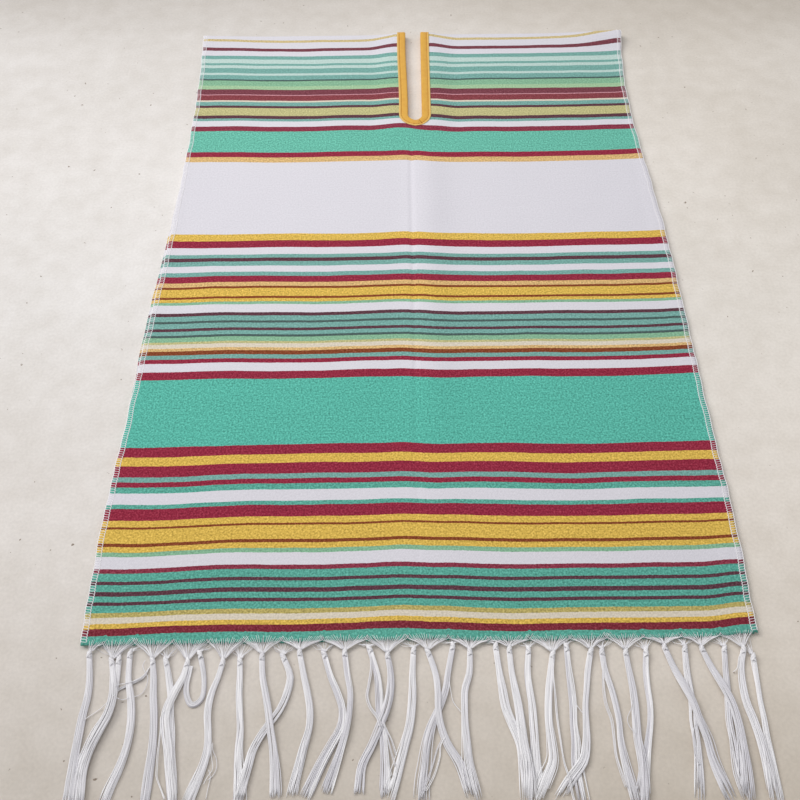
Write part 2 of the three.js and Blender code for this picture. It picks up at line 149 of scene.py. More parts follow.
# Each stripe of one panel from the shoulder fold to the hem: its yarn and its width in millimetres.
STRIPES: tuple[tuple[Yarn, float], ...] = (
    (Yarn.WHITE, 8.5), (Yarn.PALE_GOLD, 5.0), (Yarn.WHITE, 13.0), (Yarn.MULBERRY, 5.0),
    (Yarn.WHITE, 12.0), (Yarn.SEAFOAM, 8.0), (Yarn.AQUA, 8.5), (Yarn.SEAFOAM, 5.0),
    (Yarn.AQUA, 7.0), (Yarn.SEAFOAM, 10.5), (Yarn.AQUA, 4.0), (Yarn.SEAFOAM, 10.5),
    (Yarn.SLATE, 3.0), (Yarn.GREEN, 11.0), (Yarn.LEAF, 7.0), (Yarn.MULBERRY, 11.5),
    (Yarn.PINK, 2.0), (Yarn.MADDER, 10.0), (Yarn.CREAM, 3.5), (Yarn.SEAFOAM, 8.5),
    (Yarn.PLUM, 4.5), (Yarn.LEMON, 15.0), (Yarn.PLUM, 7.0), (Yarn.SEAFOAM, 4.5),
    (Yarn.WHITE, 10.0), (Yarn.WINE, 10.5), (Yarn.PALE_TEAL, 40.5), (Yarn.BURGUNDY, 9.5),
    (Yarn.APRICOT, 9.5), (Yarn.WHITE, 126.0), (Yarn.GOLD, 11.0), (Yarn.BURGUNDY, 10.5),
    (Yarn.WHITE, 11.0), (Yarn.SEAFOAM, 5.5), (Yarn.PLUM, 6.0), (Yarn.SEAFOAM, 7.0),
    (Yarn.WHITE, 9.5), (Yarn.SEAFOAM, 6.0), (Yarn.BURGUNDY, 9.5), (Yarn.APRICOT, 6.0),
    (Yarn.BROWN, 3.0), (Yarn.GOLD, 12.0), (Yarn.BROWN, 3.0), (Yarn.GOLD, 5.0),
    (Yarn.GREEN, 4.0), (Yarn.WHITE, 12.0), (Yarn.PLUM, 4.5), (Yarn.SEAFOAM, 7.5),
    (Yarn.SLATE, 3.0), (Yarn.SEAFOAM, 6.5), (Yarn.PLUM, 4.0), (Yarn.SEAFOAM, 5.5),
    (Yarn.SLATE, 3.5), (Yarn.GREEN, 6.0), (Yarn.LEMON, 3.0), (Yarn.CREAM, 6.0),
    (Yarn.APRICOT, 4.0), (Yarn.BROWN, 5.5), (Yarn.SEAFOAM, 5.5), (Yarn.BURGUNDY, 5.5),
    (Yarn.WHITE, 11.0), (Yarn.BURGUNDY, 10.5), (Yarn.TEAL, 81.0), (Yarn.BURGUNDY, 12.0),
    (Yarn.GOLD, 10.0), (Yarn.BURGUNDY, 12.0), (Yarn.SEAFOAM, 5.5), (Yarn.BURGUNDY, 6.0),
    (Yarn.DEEP_TEAL, 6.5), (Yarn.WHITE, 12.0), (Yarn.DEEP_TEAL, 5.0), (Yarn.BURGUNDY, 12.5),
    (Yarn.GOLD, 6.0), (Yarn.BROWN, 3.0), (Yarn.GOLD, 14.5), (Yarn.BROWN, 3.0),
    (Yarn.GOLD, 5.5), (Yarn.GREEN, 4.0), (Yarn.WHITE, 13.0), (Yarn.WINE, 4.5),
    (Yarn.DEEP_TEAL, 7.5), (Yarn.PLUM, 3.5), (Yarn.DEEP_TEAL, 7.0), (Yarn.PLUM, 4.0),
    (Yarn.DEEP_TEAL, 5.5), (Yarn.PLUM, 3.5), (Yarn.DEEP_TEAL, 7.0), (Yarn.OLIVE, 4.5),
    (Yarn.CREAM, 6.0), (Yarn.GOLD, 4.5), (Yarn.CRIMSON, 6.0), (Yarn.DEEP_TEAL, 12.0),
)


# ---------------------------------------------------------------- the form of the laid cloth
@dataclass(frozen=True)
class EdgeRow:
    """Where the side edges run at one distance from the fold."""

    v: float
    left: float
    right: float
    peek: float


@dataclass(frozen=True)
class LaidForm:
    """The surface that the folded cloth lies in, shared by every piece on it."""

    half_width: float = 300.0
    panel: float = 889.0
    thickness: float = 1.4
    gap: float = 0.3
    skew: float = 0.019
    slit_x: float = 0.5
    half_opening: float = 10.8
    slit_depth: float = 190.0
    tape_width: float = 12.0
    tape_thickness: float = 1.0
    front_ease: float = 38.0
    back_ease: float = 12.0
    fold: float = 2.2
    fold_at_slit: float = 1.3
    fold_at_left: float = 1.2
    fold_at_right: float = 2.6
    fold_ease: float = 36.0
    back_inset: float = 3.0
    sewn_lift: float = 0.5
    hem_sag: float = 2.8
    slit_lean: float = 3.0
    slit_rise: float = 0.8
    crease_from: float = 214.0
    ridge_height: float = 3.8
    ridge_reach: float = 17.0
    groove_depth: float = 1.1
    groove_reach: float = 2.3
    wave_height: float = 1.8
    edges: tuple[EdgeRow, ...] = (
        EdgeRow(0, -300.5, 300.5, -2),
        EdgeRow(110, -295.5, 293, -2),
        EdgeRow(200, -293.5, 292.5, -1),
        EdgeRow(300, -293.5, 297, 1),
        EdgeRow(400, -294, 301.5, 3),
        EdgeRow(530, -298, 303, 4),
        EdgeRow(660, -301, 303.5, 1),
        EdgeRow(780, -304.5, 305, -1),
        EdgeRow(889, -302.5, 302.5, -1),
    )

    @property
    def half(self) -> float:
        """Returns half the cloth's thickness."""
        return self.thickness / 2

    @property
    def tape_reach(self) -> float:
        """Returns the distance from mid-cloth to the tape's outer face."""
        return self.half + self.gap + self.tape_thickness

    @property
    def slit_cut(self) -> float:
        """Returns half the width of the cut in the cloth."""
        return self.half_opening + self.gap + self.tape_thickness

    @property
    def front_rest(self) -> float:
        """Returns the height of the front panel's middle where it lies on the back."""
        return self.thickness + self.gap + self.half

    @property
    def arc_y(self) -> float:
        """Returns the y of the centre of the slit's round end."""
        return -(self.slit_depth - self.half_opening)

    def read_edge(self, column: str, v: np.ndarray) -> np.ndarray:
        """Reads a column of the edge rows with a smooth curve through them.

        Args:
            column: The name of an EdgeRow field.
            v: Distances from the fold.

        Returns:
            The column's value at each distance.
        """
        at = np.array([row.v for row in self.edges])
        value = np.array([getattr(row, column) for row in self.edges], float)
        last = len(at) - 1
        k = np.clip(np.searchsorted(at, v, side="right") - 1, 0, last - 1)
        p0, p1 = value[np.maximum(k - 1, 0)], value[k]
        p2, p3 = value[k + 1], value[np.minimum(k + 2, last)]
        t = np.clip((v - at[k]) / (at[k + 1] - at[k]), 0, 1)
        slope_in, slope_out = (p2 - p0) / 2, (p3 - p1) / 2
        a = 2 * p1 - 2 * p2 + slope_in + slope_out
        b = 3 * p2 - 3 * p1 - 2 * slope_in - slope_out
        return ((a * t + b) * t + slope_in) * t + p1

    def taped_share(self, x: np.ndarray, v: np.ndarray, reach: float) -> np.ndarray:
        """Returns 1 under the neck tape, falling to 0 at a distance of reach from it."""
        cover = self.tape_width + self.gap
        across = np.maximum(0, np.abs(x - self.slit_x) - self.slit_cut - cover)
        below = np.maximum(0, v - self.slit_depth - cover)
        return 1 - ease(np.hypot(across, below) / reach)

    def fold_radius(self, x: np.ndarray) -> np.ndarray:
        """Returns how wide the shoulder fold rolls at each x."""
        return (
            self.fold
            + self.fold_at_slit * self.taped_share(x, np.zeros_like(x), self.front_ease)
            + self.fold_at_left * ease((-x - 200) / 100)
            + self.fold_at_right * ease((x - 190) / 110)
        )

    def crease(self, x: np.ndarray, v: np.ndarray) -> np.ndarray:
        """Returns the height of the pressed crease down the front: a ridge beside a fine groove."""
        below = v - self.crease_from
        along = ease(below / 70) * (1 - 0.75 * ease((v - 480) / 330))
        ridge = 14 + 7 * below / self.panel
        groove = -4 + 3 * ease((v - 250) / 400)
        rise = self.ridge_height * np.exp(-(((x - ridge) / self.ridge_reach) ** 2) / 2)
        dip = self.groove_depth * np.exp(-(((x - groove) / self.groove_reach) ** 2) / 2)
        return along * (rise - dip)

    def wave(self, x: np.ndarray, v: np.ndarray) -> np.ndarray:
        """Returns the height of the slow swells in the front."""
        swell = 0.5 + 0.5 * np.sin(x / 74 + v / 150 + 0.6)
        roll = 0.5 + 0.5 * np.sin(v / 97 - x / 210)
        return self.wave_height * swell * roll * (1 - self.taped_share(x, v, 90))

    def edge_lift(self, x: np.ndarray) -> np.ndarray:
        """Returns how far the side edges lie up on their own stitching."""
        return self.sewn_lift * ease((np.abs(x) - 280) / 12)

    def back_mid(self, x: np.ndarray, v: np.ndarray) -> np.ndarray:
        """Returns the height of the back panel's middle."""
        lift = self.tape_reach - self.half
        return self.half + lift * self.taped_share(x, v, self.back_ease) + self.edge_lift(x)

    def front_mid(self, x: np.ndarray, v: np.ndarray) -> np.ndarray:
        """Returns the height of the front panel's middle."""
        beside_slit = 3 * self.tape_reach + self.gap
        lift = beside_slit - self.front_rest
        settled = ease((self.panel - v) / 70)
        soft = (self.crease(x, v) + self.wave(x, v)) * settled
        plain = self.front_rest + lift * self.taped_share(x, v, self.front_ease) + soft
        plain = plain + self.edge_lift(x)
        radius = self.fold_radius(x)
        rolled = self.back_mid(x, np.zeros_like(x)) + 2 * radius
        return lerp(rolled, plain, ease((v - radius) / self.fold_ease))

    def line_y(self, x: np.ndarray, v: np.ndarray) -> np.ndarray:
        """Returns the y of a weft line: it runs a little uphill from left to right."""
        return self.skew * x - v

    def sag(self, x: np.ndarray, v: np.ndarray) -> np.ndarray:
        """Returns how far the right half of the cloth has slipped down toward the hem."""
        across = ease((x - 15) / 50) * (1 - ease((x - 258) / 38))
        return self.hem_sag * across * ease((v - 700) / 189)

    def column_x(self, offset: np.ndarray, v: np.ndarray, to_back: np.ndarray) -> np.ndarray:
        """Finds the x of a warp line, pulled in or out with the nearer side edge.

        Args:
            offset: The line's distance from the middle of the cloth.
            v: Distance from the fold.
            to_back: 0 on the front panel, 1 on the back, between them round the fold.

        Returns:
            The x of each point.
        """
        peek = self.read_edge("peek", v)
        left = self.read_edge("left", v) - to_back * peek
        right = self.read_edge("right", v) - to_back * (self.back_inset + peek / 2)
        edge = np.where(offset < 0, left, right)
        pull = edge - np.sign(offset) * self.half_width
        return self.slit_x + offset + (pull - self.slit_x) * (offset / self.half_width) ** 2

    def fold_point(self, x: np.ndarray, turn: np.ndarray) -> np.ndarray:
        """Returns points round the shoulder fold; turn runs from 0 on top to 1 below."""
        radius = self.fold_radius(x)
        y = self.line_y(x, radius) + radius * np.sin(np.pi * turn)
        z = self.back_mid(x, np.zeros_like(x)) + radius * (1 + np.cos(np.pi * turn))
        return np.stack([x, y, z], -1)

    def points(self, rows: "Rows", offset: np.ndarray) -> np.ndarray:
        """Finds the middle of the cloth's thickness.

        Args:
            rows: The rows to follow, from the front hem over the fold to the back hem.
            offset: The warp lines, as distances from the middle of the cloth.

        Returns:
            An array of rows by lines by three.
        """
        v, turn = rows.v[:, None], rows.turn[:, None]
        offset = np.broadcast_to(offset, (len(rows.v), np.shape(offset)[-1]))
        x = self.column_x(offset, v + np.zeros_like(offset), turn)
        z = np.where(turn < 0.5, self.front_mid(x, v), self.back_mid(x, v))
        flat = np.stack([x, self.line_y(x, v) - self.sag(x, v), z], -1)
        return np.where(rows.in_fold[:, None, None], self.fold_point(x, turn), flat)

    def hem_y(self, x: np.ndarray) -> np.ndarray:
        """Returns the y of the hems as they were cut, straight across."""
        return self.line_y(x, self.panel)

    def lain(self, points: np.ndarray) -> np.ndarray:
        """Returns points eased to how the slit lies: its left side leans in toward the bottom."""
        x, v = points[:, 0], self.skew * points[:, 0] - points[:, 1]
        near = ease((x + 60) / 36) * (1 - ease((x + 6) / 14))
        lean = self.slit_lean * near * ease((v - 20) / 140) * (1 - ease((v - 205) / 60))
        left = ease((x + 50) / 30) * (1 - ease((x + 12) / 18))
        rise = self.slit_rise * left * ease((v - 160) / 25) * (1 - ease((v - 205) / 40))
        return points + np.stack([lean, rise, 0 * x], -1)

    def shift(self) -> np.ndarray:
        """Returns what takes this plan's millimetres to the frame's, read off the binding's box."""
        low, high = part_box("neck_binding")
        slit_low = self.arc_y - self.slit_cut - self.tape_width + self.gap + self.tape_thickness
        return np.array([(low.x + high.x) / 2 / MM - self.slit_x, low.y / MM - slit_low, 0.0])

    def to_frame(self, points: np.ndarray) -> np.ndarray:
        """Returns points of the plan in metres of the frame."""
        return (self.lain(points) + self.shift()) * MM


@dataclass(frozen=True)
class Rows:
    """Rows of points across the cloth, in order from the front hem to the back hem."""

    v: np.ndarray
    turn: np.ndarray
    in_fold: np.ndarray

    @staticmethod
    def over(front: np.ndarray, back: np.ndarray, turns: int) -> "Rows":
        """Strings rows together.

        Args:
            front: Distances from the fold on the front, falling.
            back: Distances from the fold on the back, rising.
            turns: How many steps go round the fold.

        Returns:
            The rows over both panels.
        """
        turn = np.linspace(0, 1, turns + 1)
        return Rows(
            v=np.concatenate([front, np.zeros_like(turn), back]),
            turn=np.concatenate([np.zeros_like(front), turn, np.ones_like(back)]),
            in_fold=np.repeat([False, True, False], [len(front), len(turn), len(back)]),
        )


FORM = LaidForm()


# ---------------------------------------------------------------- meshes
@dataclass
class MeshParts:
    """Gathers points, faces and point values, and makes one mesh object of them."""

    points: list[np.ndarray] = field(default_factory=list)
    faces: list[list[int]] = field(default_factory=list)
    values: dict[str, list[np.ndarray]] = field(default_factory=dict)
    count: int = 0

    def add(self, points: np.ndarray, faces: Iterable[Sequence[int]], **values: np.ndarray) -> None:
        """Adds points with the faces between them.

        Args:
            points: The new points, in the plan's millimetres.
            faces: Faces, with indices into points.
            **values: One number a point, for each named attribute.
        """
        self.points.append(points)
        self.faces.extend([[k + self.count for k in face] for face in faces])
        self.count += len(points)
        for name, value in values.items():
            self.values.setdefault(name, []).append(np.broadcast_to(value, len(points)))

    def strand(
        self,
        path: np.ndarray,
        radius: float | np.ndarray,
        lean: np.ndarray = UP,
        sides: int = 5,
        closed: bool = False,
    ) -> None:
        """Adds a round thread along a path, with its lay measured for the twist.

        Args:
            path: Points along the thread's middle.
            radius: One radius, or one a point.
            lean: A direction that the path never runs along.
            sides: Corners in the thread's section.
            closed: Whether the path ends where it begins.
        """
        ring = np.roll(path, -1, 0) - np.roll(path, 1, 0)
        along = unit(ring if closed else np.gradient(path, axis=0))
        side = unit(np.cross(along, lean))
        top = np.cross(side, along)
        angle = np.arange(sides) * 2 * np.pi / sides
        reach = np.broadcast_to(radius, len(path))[:, None, None]
        spoke = side[:, None] * np.cos(angle)[:, None] + top[:, None] * np.sin(angle)[:, None]
        points = (path[:, None] + spoke * reach).reshape(-1, 3)
        steps = np.arange(len(path) if closed else len(path) - 1)
        here = steps[:, None] * sides
        there = ((steps + 1) % len(path))[:, None] * sides
        k, n = np.arange(sides), (np.arange(sides) + 1) % sides
        quads = np.stack([here + k, here + n, there + n, there + k], -1).reshape(-1, 4)
        faces = quads.tolist()
        if not closed:
            end = (len(path) - 1) * sides
            faces += [list(range(sides - 1, -1, -1)), list(range(end, end + sides))]
        walked = np.concatenate([[0], np.cumsum(np.linalg.norm(np.diff(path, axis=0), axis=1))])
        self.add(
            points,
            faces,
            lay=np.repeat(walked, sides),
            round=np.tile(k / sides, len(path)),
            tint=np.full(len(points), (self.count * TINT_STEP) % 1),
        )

    def build(self, name: str, material: bpy.types.Material) -> bpy.types.Object:
        """Makes the object, smooth shaded, in the frame's metres.

        Args:
            name: The piece's name.
            material: Its finish.

        Returns:
            The new mesh object, linked to the scene.
        """
        mesh = bpy.data.meshes.new(name)
        points = FORM.to_frame(np.concatenate(self.points))
        mesh.from_pydata(points.tolist(), [], self.faces)
        for key, parts in self.values.items():
            attribute = mesh.attributes.new(key, "FLOAT", "POINT")
            attribute.data.foreach_set("value", np.concatenate(parts).astype(np.float32))
        mesh.polygons.foreach_set("use_smooth", [True] * len(mesh.polygons))
        mesh.materials.append(material)
        mesh.validate()
        piece = bpy.data.objects.new(name, mesh)
        bpy.context.scene.collection.objects.link(piece)
        LOG.info("%s: %d faces", name, len(mesh.polygons))
        return piece


# ---------------------------------------------------------------- finishes
# Where a colour mix takes its factor and its two colours, and where it gives its result.
MIX_FACTOR, MIX_FIRST, MIX_SECOND, MIX_RESULT = 0, 6, 7, 2


@dataclass
class Recipe:
    """A material's node tree under way."""

    name: str
    material: bpy.types.Material = field(init=False)
    tree: bpy.types.NodeTree = field(init=False)

    def __post_init__(self) -> None:
        """Starts an empty material."""
        self.material = bpy.data.materials.new(self.name)
        self.material.use_nodes = True
        self.tree = self.material.node_tree
        self.tree.nodes.clear()

    def add(self, kind: str, *inputs: Any, **settings: Any) -> bpy.types.Node:
        """Adds one shader node with its settings and links.

        Args:
            kind: The node's type, without its ShaderNode prefix.
            *inputs: A number, a colour, an output or a node (which gives its first output), for the
                node's inputs in their order; or one dictionary of these, by the inputs' names or
                numbers.
            **settings: The node's own properties.

        Returns:
            The new node.
        """
        node = self.tree.nodes.new("ShaderNode" + kind)
        for name, value in settings.items():
            setattr(node, name, value)
        named = inputs and isinstance(inputs[0], dict)
        for key, value in (inputs[0] if named else dict(enumerate(inputs))).items():
            source = value.outputs[0] if isinstance(value, bpy.types.Node) else value
            if isinstance(source, bpy.types.NodeSocket):
                self.tree.links.new(source, node.inputs[key])
            else:
                node.inputs[key].default_value = source
        return node

    def shade(self, colour: Any, bump: Any, distance: float, **sockets: Any) -> bpy.types.Material:
        """Ends the recipe with the surface shader.

        Args:
            colour: The base colour, as a colour, an output or a node.
            bump: The relief, from 0 to 1.
            distance: How deep the relief goes, in metres.
            **sockets: The shader's other inputs, with underscores for spaces.

        Returns:
            The finished material.
        """
        relief = self.add("Bump", {"Strength": 1.0, "Distance": distance, "Height": bump})
        inputs = {key.replace("_", " "): value for key, value in sockets.items()}
        inputs |= {"Base Color": colour, "Normal": relief}
        self.add("OutputMaterial", self.add("BsdfPrincipled", inputs))
        return self.material


def two_stops(
    ramp: bpy.types.Node, first: tuple[float, str], last: tuple[float, str]
) -> bpy.types.Node:
    """Returns a colour ramp with its two stops set, each from a position and an sRGB hex colour."""
    for stop, (position, code) in zip(ramp.color_ramp.elements, (first, last)):
        stop.position, stop.color = position, linear(code)
    return ramp


@dataclass(frozen=True)
class StripedCotton:
    """Hand-loomed cotton, weft-faced: soft matt weft packed over a white warp in a nubby twill.

    Pitches and sizes are millimetres; drifts are how far, in millimetres, a stripe's edge wavers.
    """

    warp_pitch: float = 2.45
    pick_pitch: float = 1.7
    ramp_stops: int = 31
    # The white warp: how much of it shows between the nubs, and how much more it glints in specks.
    warp_colour: str = "#E9E6E8"
    warp_show: float = 0.02
    glint: float = 0.12
    # Brightness: how much picks and specks vary it, the share of that on undyed yarn, and its mean.
    picks: float = 0.25
    specks: float = 1.35
    on_white: float = 0.08
    mean_brightness: float = 0.895
    # Saturation times this, up to 1, says how strongly a yarn is dyed.
    dye_gain: float = 1.4
    slow_size: float = 55.0
    slow_drift: float = 2.4
    quick_size: float = 2.6
    quick_drift: float = 0.8
    speck_size: float = 1.9
    streaks_per_mm: float = 0.6
    streak_stretch: float = 0.02
    lattice_shake: float = 5.0
    relief: float = 0.00006
    roughness: float = 0.92

    def stripes(self, recipe: Recipe, chart: bpy.types.Node) -> bpy.types.NodeSocket:
        """Lays the chart's stripes as colour ramps, end to end.

        Args:
            recipe: The material under way.
            chart: Distance along the chart, in millimetres.

        Returns:
            The weft's colour.
        """
        colour, start = None, 0.0
        for first in range(0, len(STRIPES), self.ramp_stops):
            run = STRIPES[first : first + self.ramp_stops]
            length = sum(width for _, width in run)
            beyond = recipe.add("Math", chart, start, operation="SUBTRACT")
            share = recipe.add("Math", beyond, length, operation="DIVIDE")
            ramp = recipe.add("ValToRGB", share)
            self.fill(ramp.color_ramp, run, length)
            if colour is None:
                colour = ramp.outputs["Color"]
            else:
                past = recipe.add("Math", chart, start, operation="GREATER_THAN")
                colours = {MIX_FACTOR: past, MIX_FIRST: colour, MIX_SECOND: ramp}
                colour = recipe.add("Mix", colours, data_type="RGBA").outputs[MIX_RESULT]
            start += length
        return colour

    def fill(self, ramp: bpy.types.ColorRamp, run: Sequence[tuple[Yarn, float]], length: float) -> None:
        """Sets one ramp's stops from a run of stripes.

        Args:
            ramp: The ramp, with the two stops that it starts with.
            run: The stripes, as yarns and widths.
            length: The sum of their widths.
        """
        ramp.interpolation = "CONSTANT"
        at = 0.0
        for k, (yarn, width) in enumerate(run):
            stop = ramp.elements[0] if k == 0 else ramp.elements.new(at / length)
            stop.color = linear(yarn.value)
            at += width
        ramp.elements[0].position = 0.0
        ramp.elements.remove(ramp.elements[len(ramp.elements) - 1])

    def build(self) -> bpy.types.Material:
        """Returns the cloth's material.

        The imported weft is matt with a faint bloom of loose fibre, each pick a little lighter or darker
        than the next, and the white warp glints through between the nubs.
        """
        recipe = Recipe("weft_faced_cotton_twill")
        chart, across = (
            recipe.add("Attribute", attribute_name=name).outputs["Fac"] for name in ("chart", "across")
        )
        plan = recipe.add("CombineXYZ", across, chart)
        wavers = []
        for size, detail in ((self.slow_size, 2.0), (self.quick_size, 1.0), (self.speck_size, 1.0)):
            noise = recipe.add("TexNoise", {"Vector": plan, "Scale": 1 / size, "Detail": detail})
            wavers.append(recipe.add("Math", noise, 0.5, operation="SUBTRACT"))
        slow, quick, specks = wavers
        slow_drift = recipe.add("Math", slow, self.slow_drift, operation="MULTIPLY")
        quick_drift = recipe.add("Math", quick, self.quick_drift, operation="MULTIPLY")
        drift = recipe.add("Math", slow_drift, quick_drift, operation="ADD")
        from_fold = recipe.add("Math", chart, operation="ABSOLUTE")
        drifted = recipe.add("Math", from_fold, drift, operation="ADD")
        weft = self.stripes(recipe, recipe.add("Math", drifted, 0.01, operation="MAXIMUM"))
        nubs = self.nubs(recipe, across, chart, quick)
        hollows = recipe.add("Math", 1.0, nubs, operation="SUBTRACT")
        shown = recipe.add("Math", hollows, self.warp_show, operation="MULTIPLY")
        bright_specks = recipe.add("Math", specks, 0.0, operation="MAXIMUM")
        bare = recipe.add("Math", bright_specks, self.glint, shown, operation="MULTIPLY_ADD")
        colours = {MIX_FACTOR: bare, MIX_FIRST: weft, MIX_SECOND: linear(self.warp_colour)}
        mixed = recipe.add("Mix", colours, data_type="RGBA").outputs[MIX_RESULT]
        streaks = self.streaks(recipe, across, chart, specks, self.dyed(recipe, weft))
        return recipe.shade(
            recipe.add("HueSaturation", {"Value": streaks, "Color": mixed}),
            nubs,
            self.relief,
            Roughness=self.roughness,
            Specular_IOR_Level=0.08,
            Sheen_Weight=0.16,
            Sheen_Roughness=0.35,
        )

    def nubs(self, recipe: Recipe, across: Any, chart: Any, shake: Any) -> bpy.types.Node:
        """Draws the nubs of the weft, offset from pick to pick.

        The real picks are 0.9 mm apart, too fine to show, so they are drawn at nearly twice that.

        Args:
            recipe: The material under way.
            across: Distance across the cloth.
            chart: Distance along it.
            shake: Noise that keeps the lattice from looking printed.

        Returns:
            The height, from 0 to 1.
        """
        turn = 2 * math.pi
        shaken = recipe.add("Math", shake, self.lattice_shake, operation="MULTIPLY")
        waves = []
        for distance, repeat in ((chart, 2 * self.pick_pitch), (across, self.warp_pitch)):
            phase = recipe.add("Math", distance, turn / repeat, shaken, operation="MULTIPLY_ADD")
            waves.append(recipe.add("Math", phase, operation="COSINE"))
        lattice = recipe.add("Math", *waves, operation="SUBTRACT")
        height = recipe.add("Math", lattice, operation="ABSOLUTE")
        return recipe.add("Math", height, 0.5, operation="MULTIPLY")

    def dyed(self, recipe: Recipe, weft: bpy.types.NodeSocket) -> bpy.types.Node:
        """Returns how strongly the weft is dyed, from 0 on white to 1 on the deep colours."""
        saturation = recipe.add("SeparateColor", weft, mode="HSV").outputs[1]
        gained = recipe.add("Math", saturation, self.dye_gain, operation="MULTIPLY")
        return recipe.add("Math", gained, 1.0, operation="MINIMUM")

    def streaks(
        self, recipe: Recipe, across: Any, chart: Any, specks: Any, dyed: Any
    ) -> bpy.types.Node:
        """Varies the brightness from pick to pick and in small specks, least on undyed yarn.

        Args:
            recipe: The material under way.
            across: Distance across the cloth.
            chart: Distance along it.
            specks: Fine noise about 0.
            dyed: How strongly the weft is dyed.

        Returns:
            The brightness, about its mean.
        """
        stretched = recipe.add("Math", across, self.streak_stretch, operation="MULTIPLY")
        long_way = recipe.add("CombineXYZ", stretched, chart)
        inputs = {"Vector": long_way, "Scale": self.streaks_per_mm, "Detail": 2.0}
        picks = recipe.add("Math", recipe.add("TexNoise", inputs), 0.5, operation="SUBTRACT")
        speckle = recipe.add("Math", specks, self.specks, operation="MULTIPLY")
        both = recipe.add("Math", picks, self.picks, speckle, operation="MULTIPLY_ADD")
        share = recipe.add("Math", dyed, 1 - self.on_white, self.on_white, operation="MULTIPLY_ADD")
        return recipe.add("Math", both, share, self.mean_brightness, operation="MULTIPLY_ADD")


@dataclass(frozen=True)
class BiasTape:
    """Mustard cotton bias tape, plain woven and pressed: a fine cross weave turned 45 degrees.

    Its outer rim, outside the stitching, is drawn paler: a painted highlight where the edge catches the
    light.
    """

    colour: str = "#E2AE4A"
    shade_colour: str = "#DCA444"
    shade_below: float = 0.32
    shade_above: float = 0.56
    blotches_per_mm: float = 0.12
    # The painted highlight on the outer rim: its colour, where it starts, how soft its edge is and how
    # strong.
    painted_highlight_colour: str = "#EACD88"
    painted_highlight_from: float = 11.0
    painted_highlight_ease: float = 2.0
    painted_highlight_strength: float = 0.6
    thread_pitch: float = 1.3
    relief: float = 0.00012
    roughness: float = 0.8

    def build(self) -> bpy.types.Material:
        """Returns the tape's material: smoother than the cloth, darker in soft random blotches."""
        recipe = Recipe("mustard_cotton_bias_tape")
        along, across = (
            recipe.add("Attribute", attribute_name=name).outputs["Fac"] for name in ("along", "across")
        )
        threads = []
        for way in ("ADD", "SUBTRACT"):
            diagonal = recipe.add("Math", along, across, operation=way)
            turn = recipe.add("Math", diagonal, 2 * math.pi / self.thread_pitch, operation="MULTIPLY")
            threads.append(recipe.add("Math", turn, operation="SINE"))
        crossed = recipe.add("Math", *threads, operation="MULTIPLY")
        weave = recipe.add("Math", crossed, 0.5, 0.5, operation="MULTIPLY_ADD")
        plan = recipe.add("CombineXYZ", across, along)
        inputs = {"Vector": plan, "Scale": self.blotches_per_mm, "Detail": 3.0}
        ramp = two_stops(
            recipe.add("ValToRGB", recipe.add("TexNoise", inputs)),
            (self.shade_below, self.shade_colour),
            (self.shade_above, self.colour),
        )
        # Painted highlight: past the stitching the rim is mixed toward a paler colour.
        past = recipe.add("Math", across, self.painted_highlight_from, operation="SUBTRACT")
        rim = recipe.add("Math", past, 1 / self.painted_highlight_ease, operation="MULTIPLY")
        rim = recipe.add("Math", rim, 0.0, operation="MAXIMUM")
        rim = recipe.add("Math", rim, 1.0, operation="MINIMUM")
        share = recipe.add("Math", rim, self.painted_highlight_strength, operation="MULTIPLY")
        return recipe.shade(
            recipe.add("MixRGB", share, ramp, linear(self.painted_highlight_colour)),
            weave,
            self.relief,
            Roughness=self.roughness,
            Specular_IOR_Level=0.3,
            Sheen_Weight=0.15,
        )


@dataclass(frozen=True)
class TwistedThread:
    """Cotton thread or yarn, twisted from two plies: pale ridges with soft grey lines between, painted
    shade in the twist's grooves.
    """

    name: str
    colour: str
    # The ramp's low end: painted shade in the grooves between the plies, and the darker tone of some
    # threads.
    groove_shade_and_tone: str
    ply_pitch: float
    plies: float = 2.0
    groove_shade_share: float = 0.3
    roughness: float = 0.9
    relief: float = 0.00004

    def build(self) -> bpy.types.Material:
        """Returns the thread's material, with its twist drawn from the lay of each thread."""
        recipe = Recipe(self.name)
        lay, around, tint = (
            recipe.add("Attribute", attribute_name=name).outputs["Fac"]
            for name in ("lay", "round", "tint")
        )
        plies = recipe.add("Math", around, self.plies, operation="MULTIPLY")
        laid = recipe.add("Math", lay, self.ply_pitch, operation="DIVIDE")
        turns = recipe.add("Math", plies, laid, operation="ADD")
        phase = recipe.add("Math", turns, 2 * math.pi, operation="MULTIPLY")
        wave = recipe.add("Math", phase, operation="SINE")
        ridge = recipe.add("Math", wave, 0.5, 0.5, operation="MULTIPLY_ADD")
        # Painted shade: the twist's grooves darken toward the ramp's low end; the thread's tint gives
        # each thread its own tone.
        painted_groove_shade = recipe.add("Math", ridge, self.groove_shade_share, operation="MULTIPLY")
        by_thread = recipe.add("Math", tint, 1 - self.groove_shade_share, operation="MULTIPLY")
        shade = recipe.add("Math", painted_groove_shade, by_thread, operation="ADD")
        return recipe.shade(
            two_stops(recipe.add("ValToRGB", shade), (0.0, self.groove_shade_and_tone), (0.7, self.colour)),
            ridge,
            self.relief,
            Roughness=self.roughness,
            Specular_IOR_Level=0.3,
            Sheen_Weight=0.1,
            Sheen_Roughness=0.5,
        )


